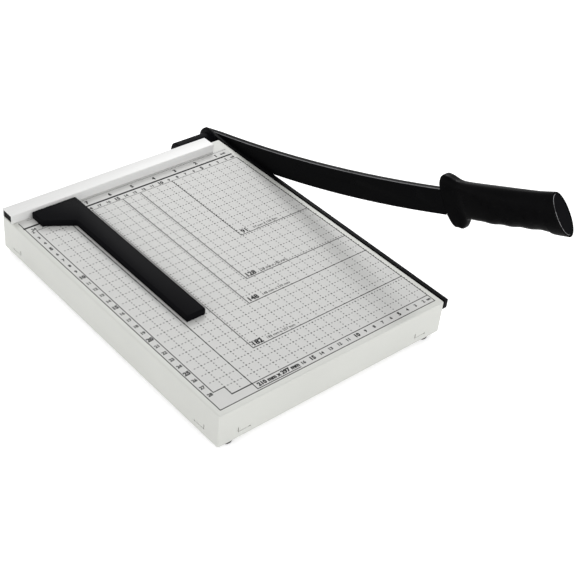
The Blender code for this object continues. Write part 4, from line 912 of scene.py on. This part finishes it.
def between_rows(rows, share):
    """The row of shares at one share along, on a smooth curve through the rows."""
    last = len(rows) - 1
    i = max(k for k in range(last) if rows[k][0] <= share)
    low, high = rows[i], rows[i + 1]
    before, after = rows[max(i - 1, 0)], rows[min(i + 2, last)]
    span = high[0] - low[0]
    t = (share - low[0]) / span
    values = []
    for k in range(1, len(low)):
        slope_low = (high[k] - before[k]) / (high[0] - before[0]) * span
        slope_high = (after[k] - low[k]) / (after[0] - low[0]) * span
        value = (2 * t ** 3 - 3 * t ** 2 + 1) * low[k] + (t ** 3 - 2 * t ** 2 + t) * slope_low
        values.append(value + (3 * t ** 2 - 2 * t ** 3) * high[k] + (t ** 3 - t ** 2) * slope_high)
    return values


def finger_wave(share):
    """How deep the finger dips cut in, at a share of the handle's length."""
    start, end = FINGER_SHARES
    if not start < share < end:
        return 0
    return FINGER_WAVE * (1 - math.cos((share - start) / (end - start) * FINGERS * math.tau)) / 2


def handle_ring(share, shrink=0.0, along_extra=0.0):
    """One section of the handle, as points in the frame."""
    above, below, flank, square = between_rows(HANDLE_SHARES, min(max(share, 0), 1))
    up = HALF_HEIGHT * above - shrink
    down = HALF_HEIGHT * below - finger_wave(share) - shrink
    inner = INNER_FLAT + (HANDLE_OUTER - HANDLE_WIDTH - INNER_FLAT) * flank + shrink
    outer = HANDLE_OUTER - shrink
    ring = []
    for i in range(SIDES):
        turn = math.tau * i / SIDES
        cos = math.copysign(abs(math.cos(turn)) ** (2 / square), math.cos(turn))
        sin = math.copysign(abs(math.sin(turn)) ** (2 / square), math.sin(turn))
        x = (inner + outer) / 2 + (outer - inner) / 2 * cos
        rise = sin * (up if sin > 0 else down)
        ring.append(arm_place(x, *handle_point(share * HANDLE_LENGTH + along_extra, rise)))
    return ring


def loft(name, rings):
    """A closed skin through rings of points, which Blender's own primitives can't give."""
    count = len(rings[0])
    points = [point for ring in rings for point in ring]
    faces = [tuple(range(count)), tuple(range(len(points) - 1, len(points) - count - 1, -1))]
    for r in range(len(rings) - 1):
        for i in range(count):
            j = (i + 1) % count
            faces.append((r * count + i, (r + 1) * count + i, (r + 1) * count + j, r * count + j))
    mesh = bpy.data.meshes.new(name)
    mesh.from_pydata(points, [], faces)
    made = bpy.data.objects.new(name, mesh)
    bpy.context.scene.collection.objects.link(made)
    edit(made, "FACE")
    bpy.ops.mesh.select_all(action="SELECT")
    bpy.ops.mesh.normals_make_consistent(inside=False)
    leave_edit()
    return made


# Moulded ABS, polished tool: semi-gloss black with a broad soft highlight and a very faint ripple.
SINK_RIPPLE = 9 * MM
RIPPLE_DEPTH = 0.05 * MM
gloss_black, tree, shader = new_material("polished_black_abs", IOR=1.54, Specular_IOR_Level=0.02)
place = add_node(tree, "ShaderNodeTexCoord").outputs["Object"]
ripple = add_node(tree, "ShaderNodeTexNoise", {"Vector": place, "Scale": 1 / SINK_RIPPLE, "Detail": 2.0})
tone = add_node(tree, "ShaderNodeValToRGB", {"Fac": ripple.outputs["Fac"]},
                stops={0.3: linear("#060607"), 0.7: linear("#09090A")})
rough = add_node(tree, "ShaderNodeValToRGB", {"Fac": ripple.outputs["Fac"]},
                 stops={0.3: grey(0.27), 0.7: grey(0.35)})
bump = add_node(tree, "ShaderNodeBump",
                {"Height": ripple.outputs["Fac"], "Distance": RIPPLE_DEPTH, "Strength": 0.5})
link_finish(tree, shader, tone, rough, bump)

# The cap's left edge carries a painted highlight: a pale grey, broken line whose colour stands for the light
# that this rim catches.
RIM_HIGHLIGHT_PATCH = 3 * MM
painted_rim_highlight, tree, shader = new_material("painted_highlight_black_abs", IOR=1.54)
place = add_node(tree, "ShaderNodeTexCoord").outputs["Object"]
rim_highlight_patch = add_node(tree, "ShaderNodeTexNoise", {"Vector": place, "Scale": 1 / RIM_HIGHLIGHT_PATCH, "Detail": 3.0})
tone = add_node(tree, "ShaderNodeValToRGB", {"Fac": rim_highlight_patch.outputs["Fac"]},
                stops={0.4: linear("#4A4A4C"), 0.65: linear("#B0B0B2")})
rough = add_node(tree, "ShaderNodeValToRGB", {"Fac": rim_highlight_patch.outputs["Fac"]},
                 stops={0.3: grey(0.4), 0.7: grey(0.55)})
link_finish(tree, shader, tone, rough)

stations = sorted(set([i / STATIONS for i in range(STATIONS + 1)] + [row[0] for row in HANDLE_SHARES]))
grip = loft("moulded_grip", [handle_ring(share) for share in stations])
recess = loft("cap_recess", [handle_ring(1, CAP_WALL, -CAP_DEPTH), handle_ring(1, CAP_WALL, OVERRUN)])
carve(grip, [recess])
HANDLE_SCREWS = (0.24, 0.66)
SCREW_SEAT = 4 * MM
SCREW_HEAD = 3.2 * MM
wells = []
for share in HANDLE_SCREWS:
    spot = arm_place(HANDLE_OUTER, *handle_point(share * HANDLE_LENGTH, 0))
    wells.append(rod_at("well", spot, SCREW_HEAD + HOLE_ROOM, 2 * SCREW_SEAT, "X", sides=40))
carve(grip, wells)
smooth(grip, 35)
grip.data.materials.append(gloss_black)
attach(grip, "blade_arm")
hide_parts("handle_grip")

cap_inner = handle_ring(1, CAP_WALL + HOLE_ROOM, HOLE_ROOM - CAP_DEPTH)
cap_outer = handle_ring(1, CAP_WALL + HOLE_ROOM)
cap = loft("end_cap", [cap_inner, cap_outer])
cap.data.materials.append(spark_black)
# A second slot holds the painted highlight, which the bevel on the cap's left rim takes below.
cap.data.materials.append(painted_rim_highlight)
cap_middle = pivot.x + HANDLE_OUTER - HANDLE_WIDTH / 2
edit(cap, "EDGE")
pick(cap, lambda e: any(len(f.verts) > 4 and f.normal.y < 0 for f in e.link_faces)
     and max(v.co.x for v in e.verts) < cap_middle)
bpy.ops.mesh.bevel(offset=CAP_EDGE, segments=3, material=1)
leave_edit()
smooth(cap, 35)
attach(cap, "blade_arm")
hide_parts("handle_end_cap")

for number in "12":
    node_copy("handle_screw_" + number, zinc, SMALL_ROUNDING)

# Paper guide
# A flat L-shaped moulding, 6 mm thick, which slides along the fence with three magnets in pockets underneath.
# Its edges are lightly rounded, and its skin is spark-textured.
GUIDE_ROUNDING = 0.25 * MM

# Ferrite: sintered, dark grey and slightly sparkling where a grain has broken.
FERRITE_GRAIN = 0.6 * MM
ferrite, tree, shader = new_material("sintered_ferrite", IOR=2.2)
place = add_node(tree, "ShaderNodeTexCoord").outputs["Object"]
grain = add_node(tree, "ShaderNodeTexVoronoi", {"Vector": place, "Scale": 1 / FERRITE_GRAIN})
tone = add_node(tree, "ShaderNodeValToRGB", {"Fac": grain.outputs["Distance"]},
                stops={0.1: linear("#2A2A2C"), 0.8: linear("#3B3B3E")})
rough = add_node(tree, "ShaderNodeValToRGB", {"Fac": grain.outputs["Distance"]},
                 stops={0.1: grey(0.4), 0.8: grey(0.65)})
link_finish(tree, shader, tone, rough)

node_copy("paper_guide", spark_black, GUIDE_ROUNDING, angle=50)
for spot in ("rear", "middle", "front"):
    node_copy("guide_magnet_" + spot, ferrite, SMALL_ROUNDING)

# Floor, light and camera
# A plain white ground under soft studio light: a small lamp high at the rear right, which shines along the
# black edges, a broad low one each in front and on the left, and a pale surround.
FLOOR_SIZE = 30
FLOOR_GLOW = 0.55
SURROUND_LIGHT = 0.58


def seen_white(tree):
    """1 for rays from the camera, gloss and glass, which see the ground and the surround as white."""
    rays = add_node(tree, "ShaderNodeLightPath").outputs
    seen = add_node(tree, "ShaderNodeMath", {0: rays["Is Camera Ray"], 1: rays["Is Glossy Ray"]},
                    operation="MAXIMUM")
    seen = add_node(tree, "ShaderNodeMath", {0: seen.outputs[0], 1: rays["Is Transmission Ray"]},
                    operation="MAXIMUM")
    return seen.outputs[0]


floor_z = min(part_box("foot_front_left")[0].z, base_low.z)
bpy.ops.object.select_all(action="DESELECT")
bpy.ops.mesh.primitive_plane_add(size=FLOOR_SIZE, location=(table_middle.x, table_middle.y, floor_z))
floor = bpy.context.object
floor.name = "studio_floor"
white_floor, tree, shader = new_material("white_studio_floor", Roughness=0.9, Specular_IOR_Level=0.0)
shader.inputs["Base Color"].default_value = linear("#F4F4F4")
shader.inputs["Emission Color"].default_value = (1, 1, 1, 1)
glow = add_node(tree, "ShaderNodeMath", {0: seen_white(tree), 1: FLOOR_GLOW}, operation="MULTIPLY")
tree.links.new(glow.outputs[0], shader.inputs["Emission Strength"])
floor.data.materials.append(white_floor)

world = bpy.data.worlds.new("pale_surround")
bpy.context.scene.world = world
world.use_nodes = True
tree = world.node_tree
tree.nodes.clear()
dim = add_node(tree, "ShaderNodeBackground", {"Color": (1, 1, 1, 1), "Strength": SURROUND_LIGHT})
bright = add_node(tree, "ShaderNodeBackground", {"Color": (1, 1, 1, 1), "Strength": 1.0})
mixed = add_node(tree, "ShaderNodeMixShader", {0: seen_white(tree), 1: dim.outputs[0], 2: bright.outputs[0]})
add_node(tree, "ShaderNodeOutputWorld", {"Surface": mixed.outputs[0]})


def soft_lamp(name, offset, size, power):
    """A square area lamp at an offset from the table's middle, turned towards it."""
    data = bpy.data.lights.new(name, "AREA")
    data.size = size
    data.energy = power
    lamp = bpy.data.objects.new(name, data)
    lamp.location = table_middle + Vector(offset)
    lamp.rotation_euler = (-Vector(offset)).to_track_quat("-Z", "Y").to_euler()
    bpy.context.scene.collection.objects.link(lamp)


soft_lamp("rear_lamp", offset=(0.9, 1.0, 1.0), size=0.45, power=9.5)
soft_lamp("front_lamp", offset=(0.75, -4.0, 0.875), size=2.5, power=72)
soft_lamp("left_lamp", offset=(-3.6, 0.24, 0.96), size=2.4, power=42)

# The camera stands where the photograph was taken from; both places are measured from the table's middle.
CAMERA_PLACE = (-0.5581, -0.6611, 0.6423)
CAMERA_AIM = (0.0228, -0.0685, 0.0)
CAMERA_ROLL = math.radians(6.33)
LENS = 75.157
SENSOR = 36.0
camera_data = bpy.data.cameras.new("photo_camera")
camera_data.lens = LENS
camera_data.sensor_width = SENSOR
camera = bpy.data.objects.new("photo_camera", camera_data)
bpy.context.scene.collection.objects.link(camera)
camera.location = table_middle + Vector(CAMERA_PLACE)
aim = Vector(CAMERA_AIM) - Vector(CAMERA_PLACE)
turn = aim.to_track_quat("-Z", "Y").to_matrix().to_4x4() @ Matrix.Rotation(CAMERA_ROLL, 4, "Z")
camera.rotation_euler = turn.to_euler()
bpy.context.scene.camera = camera
bpy.context.scene.view_settings.view_transform = "Standard"
